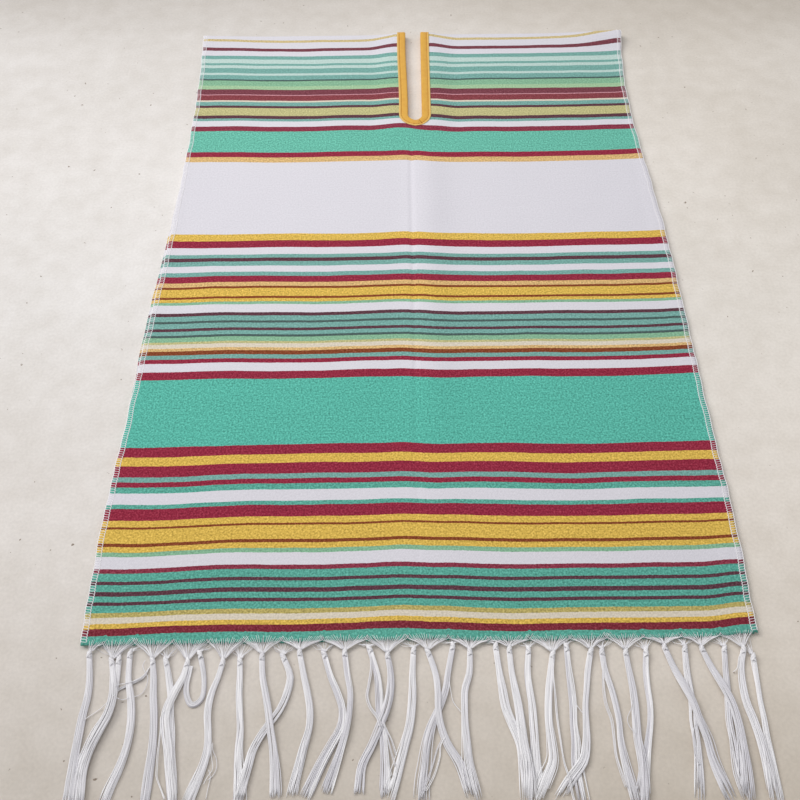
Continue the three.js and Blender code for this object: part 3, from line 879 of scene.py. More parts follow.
@dataclass(frozen=True)
class TrowelledPlaster:
    """A pale trowelled floor, chalky, clouded by the trowel and pricked with a few dark specks."""

    light: str = "#EFECE9"
    dark: str = "#E3DFDA"
    speck: str = "#9A8F84"
    clouds_per_metre: float = 3.2
    mottles_per_metre: float = 38.0
    mottle_share: float = 0.45
    pits_per_metre: float = 150.0
    grit_per_metre: float = 330.0
    grit_shade: float = 0.2
    relief: float = 0.0006
    # Painted shade of the light's falloff from the camera's side to the far side: y in metres and tone.
    painted_falloff_tones: tuple[tuple[float, str], ...] = (
        (-0.55, "#E3DDD4"), (-0.40, "#F5F1EC"), (-0.25, "#FFFDFB"), (0.0, "#FFFFFF"),
        (0.30, "#FCFBFA"), (0.47, "#FAF9F8"), (0.62, "#E3E0DC"),
    )
    # Painted light: a cool tone on the left, a warm one on the right.
    left: str = "#FAFAFB"
    right: str = "#FFFCF7"

    def build(self) -> bpy.types.Material:
        """Returns the floor's material."""
        recipe = Recipe("pale_trowelled_plaster")
        where = recipe.add("TexCoord").outputs["Object"]
        clouds, mottles, pits, grit = (
            recipe.add("TexNoise", {"Vector": where, "Scale": scale, "Detail": detail})
            for scale, detail in (
                (self.clouds_per_metre, 6.0),
                (self.mottles_per_metre, 5.0),
                (self.pits_per_metre, 2.0),
                (self.grit_per_metre, 2.0),
            )
        )
        clouded = recipe.add("Math", clouds, 1 - self.mottle_share, operation="MULTIPLY")
        both = recipe.add("Math", mottles, self.mottle_share, clouded, operation="MULTIPLY_ADD")
        plain = two_stops(recipe.add("ValToRGB", both), (0.38, self.dark), (0.62, self.light))
        pitted = two_stops(recipe.add("ValToRGB", pits), (0.73, "#000000"), (0.77, "#FFFFFF"))
        pricked = recipe.add("MixRGB", pitted, plain, linear(self.speck))
        about_zero = recipe.add("Math", grit, 0.5, operation="SUBTRACT")
        brightness = recipe.add("Math", about_zero, self.grit_shade, 1.0, operation="MULTIPLY_ADD")
        gritty = recipe.add("HueSaturation", {"Value": brightness, "Color": pricked})
        # Painted shade and light: the floor darkens toward both ends and warms toward the right.
        painted_falloff = self.painted_falloff(recipe, where, gritty)
        return recipe.shade(painted_falloff, both, self.relief, Roughness=0.85, Specular_IOR_Level=0.3)

    def painted_falloff(self, recipe: Recipe, where: Any, colour: bpy.types.Node) -> bpy.types.Node:
        """Paints the light's falloff into the floor: painted shade darker at both ends, painted warm
        light toward the right.

        Args:
            recipe: The material under way.
            where: Places on the floor, in metres.
            colour: The even floor's colour.

        Returns:
            The toned colour.
        """
        place = recipe.add("SeparateXYZ", where)
        (low, near_tone), (high, far_tone) = self.painted_falloff_tones[0], self.painted_falloff_tones[-1]
        beyond = recipe.add("Math", place.outputs["Y"], low, operation="SUBTRACT")
        share = recipe.add("Math", beyond, high - low, operation="DIVIDE")
        ramp = two_stops(recipe.add("ValToRGB", share), (0.0, near_tone), (1.0, far_tone))
        for y, tone in self.painted_falloff_tones[1:-1]:
            ramp.color_ramp.elements.new((y - low) / (high - low)).color = linear(tone)
        aside = recipe.add("Math", place.outputs["X"], 1.4, 0.4, operation="MULTIPLY_ADD")
        tint = recipe.add("MixRGB", aside, linear(self.left), linear(self.right), use_clamp=True)
        for shade in (ramp, tint):
            colour = recipe.add("MixRGB", 1.0, colour, shade, blend_type="MULTIPLY")
        return colour


# ---------------------------------------------------------------- body cloth
@dataclass
class PonchoCloth:
    """The one length of cloth, from the front hem over the shoulders to the back hem."""

    finish: StripedCotton = field(default_factory=StripedCotton)
    cut: tuple[float, float] = (0.60, 1.78)
    column_pitch: float = 2.5
    slit_columns: int = 20
    fold_steps: int = 10
    notch_depth: float = 4.5
    notch_half_width: float = 2.6
    fray: float = 0.7
    cockle: float = 0.45
    # Below the fold the back's stripes lie straight once they are this far down.
    back_settle: float = 60.0
    # How far the weft has slipped down, at distances from the fold, in the right half and at the left.
    right_slip: tuple[tuple[float, float], ...] = (
        (0, 0.5), (60, 2.0), (120, 3.3), (190, 6.0), (250, 4.2), (420, 3.6), (600, 2.2), (690, 3.2),
        (770, 3.3), (810, 2.6), (865, 1.2), (889, 1.0),
    )
    left_slip: tuple[tuple[float, float], ...] = (
        (0, -2.5), (60, -4.5), (140, -4.3), (230, -1.8), (400, 0.3), (600, 2.5), (700, 4.3),
        (889, 2.5),
    )

    def columns(self) -> np.ndarray:
        """Returns the warp lines, with one on each side of the slit's cut."""
        cut = FORM.slit_cut
        side = np.append(np.arange(cut, FORM.half_width - 1, self.column_pitch), FORM.half_width)
        middle = np.linspace(-cut, cut, self.slit_columns + 1)[1:-1]
        return np.concatenate([-side[::-1], middle, side])

    def rows(self) -> Rows:
        """Returns the rows: close together at the hem, the slit's end and the fold."""
        slit_end = np.arange(204, 174, -3.0)
        front = np.concatenate([
            [889, 886, 883, 878], np.arange(871, 209, -9.0), slit_end,
            np.arange(174, 18, -9.0), [16, 12, 9, 7],
        ])
        back = np.concatenate([
            [7, 10, 16], np.arange(26, 172, 14.0), slit_end[::-1] - 1,
            np.arange(215, 880, 18.0), [884, 889],
        ])
        return Rows.over(front, back, self.fold_steps)

    def notch(self, x: np.ndarray, fans: Sequence[float]) -> np.ndarray:
        """Returns how far the front hem draws up between one fan of warp and the next."""
        near = np.min(np.abs(x[..., None] - np.asarray(fans)), axis=-1)
        return self.notch_depth * np.clip(1 - near / self.notch_half_width, 0, 1)

    def drawn_hem(self, points: np.ndarray, rows: Rows, fans: Sequence[float]) -> np.ndarray:
        """Frays the hems and draws notches in the front one.

        Args:
            points: The cloth's middle surface.
            rows: Its rows.
            fans: The x of each boundary between two fans of the front hem.

        Returns:
            The surface with its hems drawn.
        """
        rng = np.random.default_rng(11)
        share = ease((rows.v - 879) / 10)[:, None]
        frayed = rng.uniform(-self.fray, self.fray, points.shape[:2])
        on_front = (rows.turn < 0.5)[:, None]
        up = np.where(on_front, self.notch(points[..., 0], fans), 0.0) + frayed
        moved = points.copy()
        moved[..., 1] += up * share
        return moved

    def cockled(self, points: np.ndarray, rows: Rows) -> np.ndarray:
        """Returns the surface with what loomed cloth has: small swells and rippled side edges."""
        x, v = points[..., 0], rows.v[:, None]
        small = np.sin(x / 19 + np.sin(v / 31) * 1.7) * np.sin(v / 23 + np.sin(x / 41) * 1.9)
        lift = self.cockle * (0.5 + 0.5 * small) * (rows.turn < 0.5)[:, None]
        lift = lift * (1 - FORM.taped_share(x, v + 0 * x, 12)) * ease(v / 30)
        moved = points.copy()
        moved[..., 2] += lift
        side = ease((np.abs(x) - 250) / 45)
        ripple = 0.3 * np.sin(v / 4.9 + 1.3 * np.sin(v / 23)) + 0.35 * np.sin(v / 11.7 + 0.8)
        moved[..., 0] += side * ripple * ~rows.in_fold[:, None]
        return moved

    def chart(self, x: np.ndarray, v: np.ndarray) -> np.ndarray:
        """Finds where each point of the front sits on the stripe chart.

        The stripes rise a little to the right near the shoulders, pull up beside the neck tape at the
        fold and at the slit's end, and wander gently toward the hem.

        Args:
            x: Distance from the cloth's centre line.
            v: Distance from the fold.

        Returns:
            Distance along the chart, in millimetres.
        """
        below = ease(v / 300)
        slope = 0.010 * (1 - below) - 0.0015 * below + 0.003 * ease((v - 500) / 380)
        pull = 4.5 * (1 - ease(v / 80)) - 1.5 * ease(v / 60) * (1 - ease((v - 110) / 60))
        leaning = 1.3 - 2.6 * ease((10 - x) / 20)
        pull = pull + leaning * ease((v - 120) / 50) * (1 - ease((v - 185) / 25))
        beside = pull * FORM.taped_share(x, v + 0 * x, 46)
        under = ease((v - 205) / 20) * (1 - 0.8 * ease((v - 300) / 320))
        bulge = 1.9 * np.exp(-((x / 24) ** 2)) - 1.1 * np.exp(-(((x + 3) / 4.0) ** 2))
        beside = beside + under * bulge
        corner = 8.0 * ease((x - 225) / 80) * (1 - ease(v / 60))
        wander = np.sin(x / 47 + 0.9) * 0.9 + np.sin(x / 29 + v / 60) * 0.6
        wander = wander * (0.4 + 0.6 * ease(v / 700))
        return v + slope * x + beside + corner + wander - self.slipped(x, v)

    def slipped(self, x: np.ndarray, v: np.ndarray) -> np.ndarray:
        """Returns how far the weft has slipped down the warp, in the right half and at the left."""
        right = np.interp(v, *zip(*self.right_slip)) * ease((x + 25) / 50)
        held = 1.6 * ease((x - 120) / 100) * ease((v - 100) / 100) * (1 - ease((v - 300) / 60))
        right = right - held
        ridge = 0.75 * FORM.crease(x, v)
        hem = 1.6 * np.exp(-((x / 45) ** 2)) * ease((v - 790) / 40)
        left = np.interp(v, *zip(*self.left_slip)) * ease((-x - 150) / 130)
        side = 0.008 * np.maximum(x, 0) * ease((v - 600) / 80)
        return right + left + side + ridge + hem

    def kept(self, rows: Rows, columns: np.ndarray) -> np.ndarray:
        """Returns which cells of the grid are cloth, not slit."""
        offset = (columns[1:] + columns[:-1])[None] / 2
        v = np.where(rows.in_fold, 0, rows.v)
        v = (v[1:] + v[:-1])[:, None] / 2
        beyond = np.hypot(offset, np.maximum(0, v + FORM.arc_y))
        return beyond > FORM.slit_cut + 0.4

    def build(self, fans: Sequence[float]) -> bpy.types.Object:
        """Makes the cloth as one closed sheet.

        Args:
            fans: The x of each boundary between two fans of the front hem.

        Returns:
            The cloth.
        """
        rows, columns = self.rows(), self.columns()
        middle = self.cockled(FORM.points(rows, columns), rows)
        middle = self.drawn_hem(middle, rows, fans)
        side = np.gradient(middle, axis=1)
        down = np.gradient(middle, axis=0)
        normal = unit(np.cross(side, down))
        chart = self.chart_over(rows, middle[..., 0])
        parts = MeshParts()
        self.shell(parts, middle, normal, self.kept(rows, columns), chart, columns)
        cloth = parts.build("poncho_body_cloth", self.finish.build())
        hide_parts("poncho_cloth")
        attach(cloth, BODY)
        return cloth

    def chart_over(self, rows: Rows, x: np.ndarray) -> np.ndarray:
        """Finds where each point of both panels sits on the chart; the back mirrors it below zero.

        Args:
            rows: The rows of the cloth.
            x: Distance from the cloth's centre line, rows by columns.

        Returns:
            Distance along the chart, in millimetres.
        """
        v, turn = rows.v[:, None], rows.turn[:, None]
        on_ridge = self.chart(x, 0 * x)
        round_fold = on_ridge + FORM.fold_radius(x) * (1 - 2 * turn)
        on_back = on_ridge * (1 - ease(v / self.back_settle)) - v
        flat = np.where(turn < 0.5, self.chart(x, v), on_back)
        return np.where(rows.in_fold[:, None], round_fold, flat)

    def shell(
        self,
        parts: MeshParts,
        middle: np.ndarray,
        normal: np.ndarray,
        kept: np.ndarray,
        chart: np.ndarray,
        columns: np.ndarray,
    ) -> None:
        """Closes the cloth round its middle surface.

        Args:
            parts: Where the mesh goes.
            middle: The middle surface, rows by columns.
            normal: The way out of the upper skin at each point.
            kept: Which cells are cloth.
            chart: Each point's place on the stripe chart.
            columns: Each column's distance from the middle of the cloth.
        """
        height, width = middle.shape[:2]
        j, i = np.nonzero(kept)
        a, b = j * width + i, j * width + i + 1
        d, c = a + width, b + width
        far = height * width
        top = np.stack([a, b, c, d], -1)
        under = np.stack([a, d, c, b], -1) + far
        edges = np.concatenate([top[:, [0, 1]], top[:, [1, 2]], top[:, [2, 3]], top[:, [3, 0]]])
        keys = {(int(p), int(q)) for p, q in edges}
        rim = [(p, q) for p, q in keys if (q, p) not in keys]
        walls = [[q, p, p + far, q + far] for p, q in rim]
        faces = np.concatenate([top, under, np.array(walls)])
        points = np.concatenate([
            (middle + normal * FORM.half).reshape(-1, 3),
            (middle - normal * FORM.half).reshape(-1, 3),
        ])
        used = np.unique(faces)
        place = np.full(2 * far, -1)
        place[used] = np.arange(len(used))
        across = np.tile(np.broadcast_to(columns, chart.shape).ravel(), 2)
        along = np.tile(chart.ravel(), 2)
        parts.add(points[used], place[faces].tolist(), chart=along[used], across=across[used])


# ---------------------------------------------------------------- neck binding
@dataclass
class NeckBinding:
    """A bias tape folded over the cut edge of the slit, one loop through both panels."""

    finish: BiasTape = field(default_factory=BiasTape)
    stitch_inset: float = 3.3
    stitch_pitch: float = 2.6
    stitch_radius: float = 0.22
    pucker: float = 0.42
    pucker_pitch: float = 5.0
    join_at: float = 6.5
    join_depth: float = 1.3
    join_reach: float = 0.9

    @property
    def rim(self) -> float:
        """Returns how far past the cut edge the tape reaches over the cloth."""
        return FORM.tape_width - (FORM.gap + FORM.tape_thickness)

    def route(self) -> tuple[np.ndarray, np.ndarray, np.ndarray]:
        """Follows the cut edge round: down the front's left side, round, up, over and back.

        Returns:
            The points, the way into the cloth at each, and how much each sits in the round end.
        """
        down = np.arange(6.0, 179.0, 3.5)
        arc = np.linspace(0, 1, 65)
        turn = np.linspace(0, 1, 9)
        legs: list[tuple[np.ndarray, np.ndarray, np.ndarray]] = []

        def side(sign: int, v: np.ndarray, mid: Any) -> None:
            x = np.full_like(v, FORM.slit_x + sign * FORM.slit_cut)
            into = np.tile([sign, 0.0, 0.0], (len(v), 1))
            legs.append((np.stack([x, FORM.line_y(x, v), mid(x, v)], -1), into, 0 * v))

        def over(sign: int, turns: np.ndarray) -> None:
            x = np.full_like(turns, FORM.slit_x + sign * FORM.slit_cut)
            into = np.tile([sign, 0.0, 0.0], (len(turns), 1))
            legs.append((FORM.fold_point(x, turns), into, 0 * turns))

        def bottom(sign: int, mid: Any) -> None:
            angle = np.pi * (1.5 - sign * (arc - 0.5))
            into = np.stack([np.cos(angle), np.sin(angle), 0 * angle], -1)
            x = FORM.slit_x + FORM.slit_cut * into[:, 0]
            y = FORM.arc_y + FORM.slit_cut * into[:, 1]
            z = mid(x, FORM.skew * x - y)
            legs.append((np.stack([x, y, z], -1), into, np.sin(np.pi * arc)))

        side(-1, down, FORM.front_mid)
        bottom(-1, FORM.front_mid)
        side(1, down[::-1], FORM.front_mid)
        over(1, turn)
        side(1, down, FORM.back_mid)
        bottom(1, FORM.back_mid)
        side(-1, down[::-1], FORM.back_mid)
        over(-1, turn[::-1])
        points, into, round_end = (np.concatenate(part) for part in zip(*legs))
        return points, into, round_end

    def section(self) -> np.ndarray:
        """Returns the tape's section as (into the cloth, away from it), rounded at the fold."""
        out, back = FORM.tape_reach - 0.03, -(FORM.gap + FORM.tape_thickness)
        tip = self.rim
        inside = FORM.half + FORM.gap
        seam = tip - self.stitch_inset
        flap = [(tip, inside + 0.35), (tip - 0.25, out - 0.12), (tip - 0.9, out)]
        flap += [(seam + 0.9, out - 0.1)]
        flap += [(seam + 0.3, out - 0.42), (seam - 0.3, out - 0.42), (seam - 1.0, out - 0.1)]
        flap += [(4.0, out - 0.12), (2.2, out - 0.05), (0.6, out - 0.08), (-0.45, out - 0.35)]
        outer = flap + [(-1.05, out - 0.95), (back, 0.45)]
        inner = [(-FORM.gap, inside - 0.25), (0.1, inside), (6.0, inside), (tip - 0.2, inside)]
        top = outer + [(b, -n) for b, n in reversed(outer)]
        lining = [(b, -n) for b, n in reversed(inner)] + inner
        return np.array(top + lining)

    def build(self) -> list[bpy.types.Object]:
        """Returns the tape and its row of stitches."""
        points, into, round_end = self.route()
        along = unit(np.roll(points, -1, 0) - np.roll(points, 1, 0))
        up = unit(np.cross(into, along))
        step = np.linalg.norm(points - np.roll(points, 1, 0), axis=1)
        walked = np.cumsum(step)
        section = self.section()
        grid = points[:, None] + into[:, None] * section[:, :1] + up[:, None] * section[:, 1:]
        share = np.clip(section[:, 0] / self.rim, 0, 1)
        outer = np.abs(section[:, 1]) > FORM.half + FORM.gap + 0.4
        ruffle = np.sin(walked * 2 * np.pi / self.pucker_pitch) * (0.15 + 0.85 * round_end)
        crest = self.pucker * 0.5 * (ruffle - 1)[:, None] * (share * outer)[None]
        near_join = np.exp(-(((points[:, 0] - self.join_at) / self.join_reach) ** 2))
        join = near_join * (round_end > 0) * (points[:, 2] > 4)
        crest -= self.join_depth * join[:, None] * outer[None]
        crest *= np.sign(section[:, 1])[None]
        grid = grid + up[:, None] * crest[..., None]
        parts = MeshParts()
        n, m = grid.shape[:2]
        k, i = np.meshgrid(np.arange(n), np.arange(m), indexing="ij")
        there, j = (k + 1) % n, (i + 1) % m
        quads = np.stack([k * m + i, there * m + i, there * m + j, k * m + j], -1).reshape(-1, 4)
        parts.add(
            grid.reshape(-1, 3),
            quads.tolist(),
            along=np.repeat(walked, m),
            across=np.tile(section[:, 0] + 3 * np.sign(section[:, 1]), n),
        )
        tape = parts.build("neck_bias_tape", self.finish.build())
        stitches = self.stitches(points, into, up, walked)
        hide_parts("neck_binding")
        for piece in (tape, stitches):
            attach(piece, BODY)
        return [tape, stitches]

    def stitches(
        self, points: np.ndarray, into: np.ndarray, up: np.ndarray, walked: np.ndarray
    ) -> bpy.types.Object:
        """Sews the tape down, in short stitches near its outer edge, on both faces.

        Args:
            points: The route of the cut edge.
            into: The way into the cloth along it.
            up: The way away from the cloth along it.
            walked: Distance along the route.

        Returns:
            The stitches.
        """
        parts = MeshParts()
        tip = self.rim - self.stitch_inset
        for face in (1, -1):
            line = points + into * tip + up * face * (FORM.tape_reach - 0.28)
            for start in np.arange(walked[0], walked[-1] - 2, self.stitch_pitch):
                at = np.linspace(start, start + self.stitch_pitch * 0.72, 5)
                path = np.stack([np.interp(at, walked, line[:, k]) for k in range(3)], -1)
                normal = np.stack([np.interp(at, walked, up[:, k]) for k in range(3)], -1) * face
                path += normal * np.array([-0.3, 0.0, 0.06, 0.0, -0.3])[:, None]
                parts.strand(path, self.stitch_radius, lean=normal[2], sides=4)
        self.join(parts, points, into, up)
        finish = TwistedThread("mustard_sewing_thread", "#CB9238", "#B57C2B", 1.2)
        return parts.build("neck_binding_stitches", finish.build())

    def join(self, parts: MeshParts, points: np.ndarray, into: np.ndarray, up: np.ndarray) -> None:
        """Whips the tape's two ends together, across the bottom of the front.

        Args:
            parts: Where the mesh goes.
            points: The route of the cut edge.
            into: The way into the cloth along it.
            up: The way away from the cloth along it.
        """
        on_front = (points[:, 1] < FORM.arc_y) & (points[:, 2] > 2 * FORM.thickness)
        away = np.where(on_front, np.abs(points[:, 0] - self.join_at), np.inf)
        at = int(np.argmin(away))
        reach = np.linspace(1.0, FORM.tape_width - 3.0, 7)[:, None]
        path = points[at] + into[at] * reach + up[at] * (FORM.tape_reach - 0.1)
        parts.strand(path, 1.6 * self.stitch_radius, lean=up[at], sides=5)


# ---------------------------------------------------------------- overlock
@dataclass
class Overlock:
    """White overlock along both side edges, from the front hem over the fold to the back hem."""

    left_width: float = 4.8
    right_width: float = 5.0
    pitch: float = 2.5
    beats: int = 8
    radius: float = 0.42
    rung_radius: float = 0.27
    edge_radius: float = 0.5

    def route(self, sign: int, cloth: PonchoCloth) -> tuple[np.ndarray, np.ndarray, np.ndarray]:
        """Follows one side edge.

        Args:
            sign: -1 for the left edge, 1 for the right.
            cloth: The cloth that the edge belongs to.

        Returns:
            Evenly spaced points on the edge, on the needle line and the upper skin's normal.
        """
        front = np.arange(887.0, 6.0, -3.0)
        rows = Rows.over(front, front[::-1], 12)
        width = self.left_width if sign < 0 else self.right_width
        ends = np.array([sign * FORM.half_width, sign * (FORM.half_width - width)])
        lines = cloth.cockled(FORM.points(rows, ends), rows)
        edge, needle = lines[:, 0], lines[:, 1]
        along = np.gradient(edge, axis=0)
        normal = unit(np.cross(edge - needle, along)) * sign
        walked = np.concatenate([[0], np.cumsum(np.linalg.norm(np.diff(edge, axis=0), axis=1))])
        steps = np.arange(0, walked[-1], self.pitch / self.beats)

        def even(values: np.ndarray) -> np.ndarray:
            return np.stack([np.interp(steps, walked, values[:, k]) for k in range(3)], -1)

        return even(edge), even(needle), unit(even(normal))

    def build(self, cloth: PonchoCloth) -> list[bpy.types.Object]:
        """Returns the stitching of the left and the right edge.

        Args:
            cloth: The cloth that the edges belong to.
        """
        finish = TwistedThread("white_polyester_overlock_thread", "#FCFAFC", "#F0EEF2", 1.0).build()
        pieces = []
        for sign, side in ((-1, "left"), (1, "right")):
            edge, needle, normal = self.route(sign, cloth)
            parts = MeshParts()
            self.lines(parts, edge, needle, normal)
            self.rungs(parts, edge, needle, normal)
            piece = parts.build(f"{side}_edge_overlock", finish)
            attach(piece, BODY)
            pieces.append(piece)
        return pieces

    def lines(
        self, parts: MeshParts, edge: np.ndarray, needle: np.ndarray, normal: np.ndarray
    ) -> None:
        """Lays the straight needle line on both faces and the soft thread that locks along the edge.

        Args:
            parts: Where the mesh goes.
            edge: Points on the cloth's edge.
            needle: Points on the needle line.
            normal: The upper skin's normal.
        """
        out = unit(edge - needle)
        beat = np.arange(len(edge)) * 2 * np.pi / self.beats
        for face in (1, -1):
            slant = out * (0.35 * np.cos(beat))[:, None]
            path = needle + slant + normal * (face * FORM.half)
            parts.strand(self.resting(path)[::2], self.radius, lean=normal[0], sides=4)
        path = edge + out * (0.12 + 0.15 * np.cos(beat))[:, None] + normal * 0.45
        parts.strand(self.resting(path)[::2], self.edge_radius, lean=normal[0], sides=5)

    def rungs(
        self, parts: MeshParts, edge: np.ndarray, needle: np.ndarray, normal: np.ndarray
    ) -> None:
        """Whips one thread round the edge: out over the top, back below, up through the needle line.

        Args:
            parts: Where the mesh goes.
            edge: Points on the cloth's edge.
            needle: Points on the needle line.
            normal: The upper skin's normal.
        """
        phase = (np.arange(len(edge)) / self.beats) % 1
        swing = np.where(phase < 0.5, ease(phase / 0.45), 1 - ease((phase - 0.5) / 0.45))
        side = np.clip(1.6 * np.sin(2 * np.pi * phase), -1, 1)
        path = lerp(needle, edge + unit(edge - needle) * 0.35, swing[:, None])
        path = path + normal * (side * FORM.half)[:, None]
        parts.strand(self.resting(path), self.rung_radius, lean=normal[0], sides=4)

    def resting(self, path: np.ndarray) -> np.ndarray:
        """Returns a path with nothing of its thread below the floor."""
        return np.column_stack([path[:, :2], np.maximum(path[:, 2], self.radius)])


# ---------------------------------------------------------------- fringe
class Panel(Enum):
    """Which hem a tassel hangs from."""

    FRONT = "front"
    BACK = "back"


# How far below the hem each bundle's x is given, between its knot and its tip.
DROPS = (30, 45, 60, 75, 90, 105, 120)
# Its longest yarns reach past the tip by this share of its length, its shortest fall short of it.
OVERREACH = 0.055


@dataclass(frozen=True)
class Tassel:
    """A knotted bundle of warp: x and distance below the hem of points down it, knot first."""

    panel: Panel
    points: tuple[tuple[float, float], ...]

    @property
    def knot(self) -> tuple[float, float]:
        """Returns the knot's x and distance below the hem."""
        return self.points[0]

    def centre(self, t: np.ndarray) -> np.ndarray:
        """Returns points in plan along the bundle, from 0 at the knot to 1 at the tip."""
        path = curve_through(self.points, 81)
        at = np.linspace(0, 1, len(path))
        x, drop = np.interp(t, at, path[:, 0]), np.interp(t, at, path[:, 1])
        return np.stack([x, FORM.hem_y(x) - drop], -1)


def hung(
    kind: str, knot: tuple[float, float], run: Sequence[float], tip: tuple[float, float]
) -> Tassel:
    """Lays out one tassel, and draws it a little past its tip, where its longest yarns end.

    Args:
        kind: F for one that hangs from the front hem, B for the back.
        knot: The knot's x and distance below the hem.
        run: The bundle's x at each of DROPS.
        tip: The x and distance below the hem that its yarns reach on the whole.

    Returns:
        The tassel.
    """
    panel = Panel.FRONT if kind == "F" else Panel.BACK
    further = OVERREACH * tip[1]
    slope = (tip[0] - run[-2]) / (tip[1] - DROPS[-2])
    return Tassel(panel, (knot, *zip(run, DROPS), (tip[0] + slope * further, tip[1] + further)))


TASSELS: tuple[Tassel, ...] = (
    hung("F", (-293, 8), (-289, -288, -289, -289, -289, -288, -287), (-286, 136)),
    hung("B", (-266, 14), (-265, -265, -269, -276, -280, -283, -283), (-281, 136)),
    hung("F", (-272, 15), (-268, -265, -267, -273, -278, -280, -279), (-277, 138)),
    hung("B", (-257, 9), (-255, -251, -248, -247, -248, -251, -256), (-259, 136)),
    hung("F", (-236, 15), (-233, -231, -228, -226, -225, -225, -225), (-225, 139)),
    hung("B", (-224, 16), (-220, -216, -214, -211, -209, -206, -204), (-201, 135)),
    hung("F", (-205, 17), (-208, -214, -218, -216, -212, -209, -205), (-201, 139)),
    hung("B", (-195, 10), (-190, -188, -189, -196, -202, -204, -203), (-202, 122)),
    hung("F", (-174, 17), (-177, -181, -182, -180, -179, -182, -187), (-192, 137)),
    hung("B", (-159, 17), (-158, -157, -155, -153, -153, -152, -150), (-149, 135)),
    hung("F", (-140, 13), (-138, -134, -130, -127, -124, -122, -121), (-121, 123)),
    hung("B", (-121, 14), (-114, -116, -122, -133, -141, -144, -147), (-147, 123)),
    hung("F", (-107, 10), (-102, -98, -95, -95, -99, -102, -105), (-105, 122)),
    hung("B", (-85, 12), (-79, -72, -67, -68, -76, -84, -91), (-93, 125)),
    hung("F", (-67, 11), (-64, -61, -61, -63, -67, -72, -77), (-77, 122)),
    hung("B", (-45, 8), (-38, -36, -35, -33, -31, -30, -30), (-30, 124)),
    hung("F", (-29, 14), (-26, -26, -29, -35, -42, -50, -52), (-52, 122)),
    hung("B", (-6, 10), (-7, -7, -8, -10, -14, -18, -22), (-25, 129)),
    hung("F", (7, 12), (13, 15, 15, 17, 22, 31, 37), (39, 125)),
    hung("B", (29, 7), (24, 21, 15, 8, 4, 2, 0), (0, 130)),
    hung("F", (44, 12), (43, 38, 37, 37, 38, 39, 42), (44, 129)),
    hung("B", (67, 8), (69, 71, 73, 78, 83, 84, 84), (84, 135)),
    hung("F", (79, 11), (80, 82, 84, 85, 86, 88, 88), (87, 136)),
    hung("B", (96, 12), (94, 94, 95, 95, 95, 95, 95), (93, 135)),
    hung("F", (117, 16), (114, 111, 109, 108, 109, 109, 102), (94, 136)),
    hung("B", (130, 10), (130, 130, 130, 129, 129, 128, 130), (132, 137)),
    hung("F", (151, 14), (147, 144, 141, 140, 139, 135, 122), (115, 130)),
    hung("B", (161, 14), (162, 165, 167, 168, 167, 168, 170), (173, 138)),
    hung("F", (182, 15), (183, 184, 184, 183, 182, 182, 181), (179, 138)),
    hung("B", (200, 16), (198, 197, 197, 195, 191, 187, 183), (179, 136)),
    hung("F", (217, 11), (223, 228, 233, 236, 240, 242, 246), (252, 138)),
    hung("B", (235, 13), (234, 234, 234, 232, 232, 231, 229), (226, 138)),
    hung("F", (250, 13), (256, 262, 267, 269, 269, 268, 266), (264, 138)),
    hung("B", (270, 14), (268, 266, 264, 262, 262, 262, 263), (267, 139)),
    hung("F", (287, 15), (282, 280, 280, 283, 285, 286, 286), (285, 139)),
    hung("B", (294, 22), (294, 293, 292, 292, 291, 291, 290), (289, 139)),
)
# The tassel that hangs as a loop instead, by its place in TASSELS.
LOOPED = 7


@dataclass(frozen=True)
class Lock:
    """A few yarns that go their own way, as points of x and distance below the hem."""

    yarns: int
    points: tuple[tuple[float, float], ...]
    under: bool = False


LOCKS: tuple[Lock, ...] = (
    Lock(6, ((-237, 18), (-240, 24), (-243, 29), (-248, 32), (-256, 36), (-262, 39), (-264, 42)),
         under=True),
    Lock(1, ((-243, 14), (-244, 19), (-241, 25), (-238, 30), (-239, 38), (-243, 44), (-251, 47),
             (-258, 48), (-263, 46), (-265, 44))),
    Lock(1, ((-268, 50), (-273, 54), (-279, 58), (-284, 62), (-286, 64))),
    Lock(1, ((-243, 30), (-253, 34), (-260, 35), (-264, 37))),
    Lock(2, ((-216, 56), (-221, 63), (-220, 75), (-220, 92), (-219, 104), (-218, 111), (-214, 119),
             (-209, 128))),
    Lock(1, ((-175, 85), (-174, 91), (-171, 97), (-170, 104), (-172, 110), (-176, 114))),
    Lock(1, ((-176, 106), (-174, 112), (-175, 119), (-176, 128))),
    Lock(1, ((-176, 86), (-175, 95), (-173, 105), (-177, 112), (-179, 117))),
    Lock(5, ((-45, 10), (-44, 15), (-43, 26), (-45, 40), (-46, 49), (-43, 58), (-37, 67), (-34, 75))),
    Lock(2, ((-33, 70), (-30, 76), (-25, 86), (-21, 98))),
    Lock(2, ((-32, 72), (-29, 81), (-26, 93), (-22, 106))),
    Lock(2, ((-32, 78), (-30, 87), (-29, 100), (-25, 114))),
    Lock(2, ((20, 84), (16, 91), (15, 100), (10, 114), (3, 126))),
    Lock(2, ((17, 86), (13, 94), (9, 106), (4, 119), (-1, 130))),
    Lock(1, ((25, 38), (26, 45), (28, 55), (34, 64))),
    Lock(1, ((72, 60), (75, 66), (79, 73), (83, 79))),
    Lock(4, ((117, 24), (116, 37), (116, 53), (116, 69), (117, 88), (118, 103), (120, 115), (122, 128),
             (124, 137))),
    Lock(1, ((130, 46), (131, 52), (133, 59), (138, 67))),
    Lock(3, ((161, 18), (161, 24), (159, 40), (159, 58), (162, 73), (162, 88), (162, 101), (164, 113),
             (167, 126))),
    Lock(1, ((182, 58), (180, 64), (176, 71), (176, 77), (178, 81), (181, 85))),
    Lock(2, ((232, 78), (229, 86), (228, 95), (228, 103), (230, 110))),
    Lock(1, ((283, 19), (281, 23), (278, 31), (274, 34))),
)

# The one bundle whose tip was caught back in its neighbour's knot, as x and distance below the hem.
LOOP = (
    (-194, 12), (-190, 26), (-188, 39), (-189, 48), (-194, 53), (-199, 52), (-203, 44), (-204, 35),
    (-203, 27), (-202, 20),
)


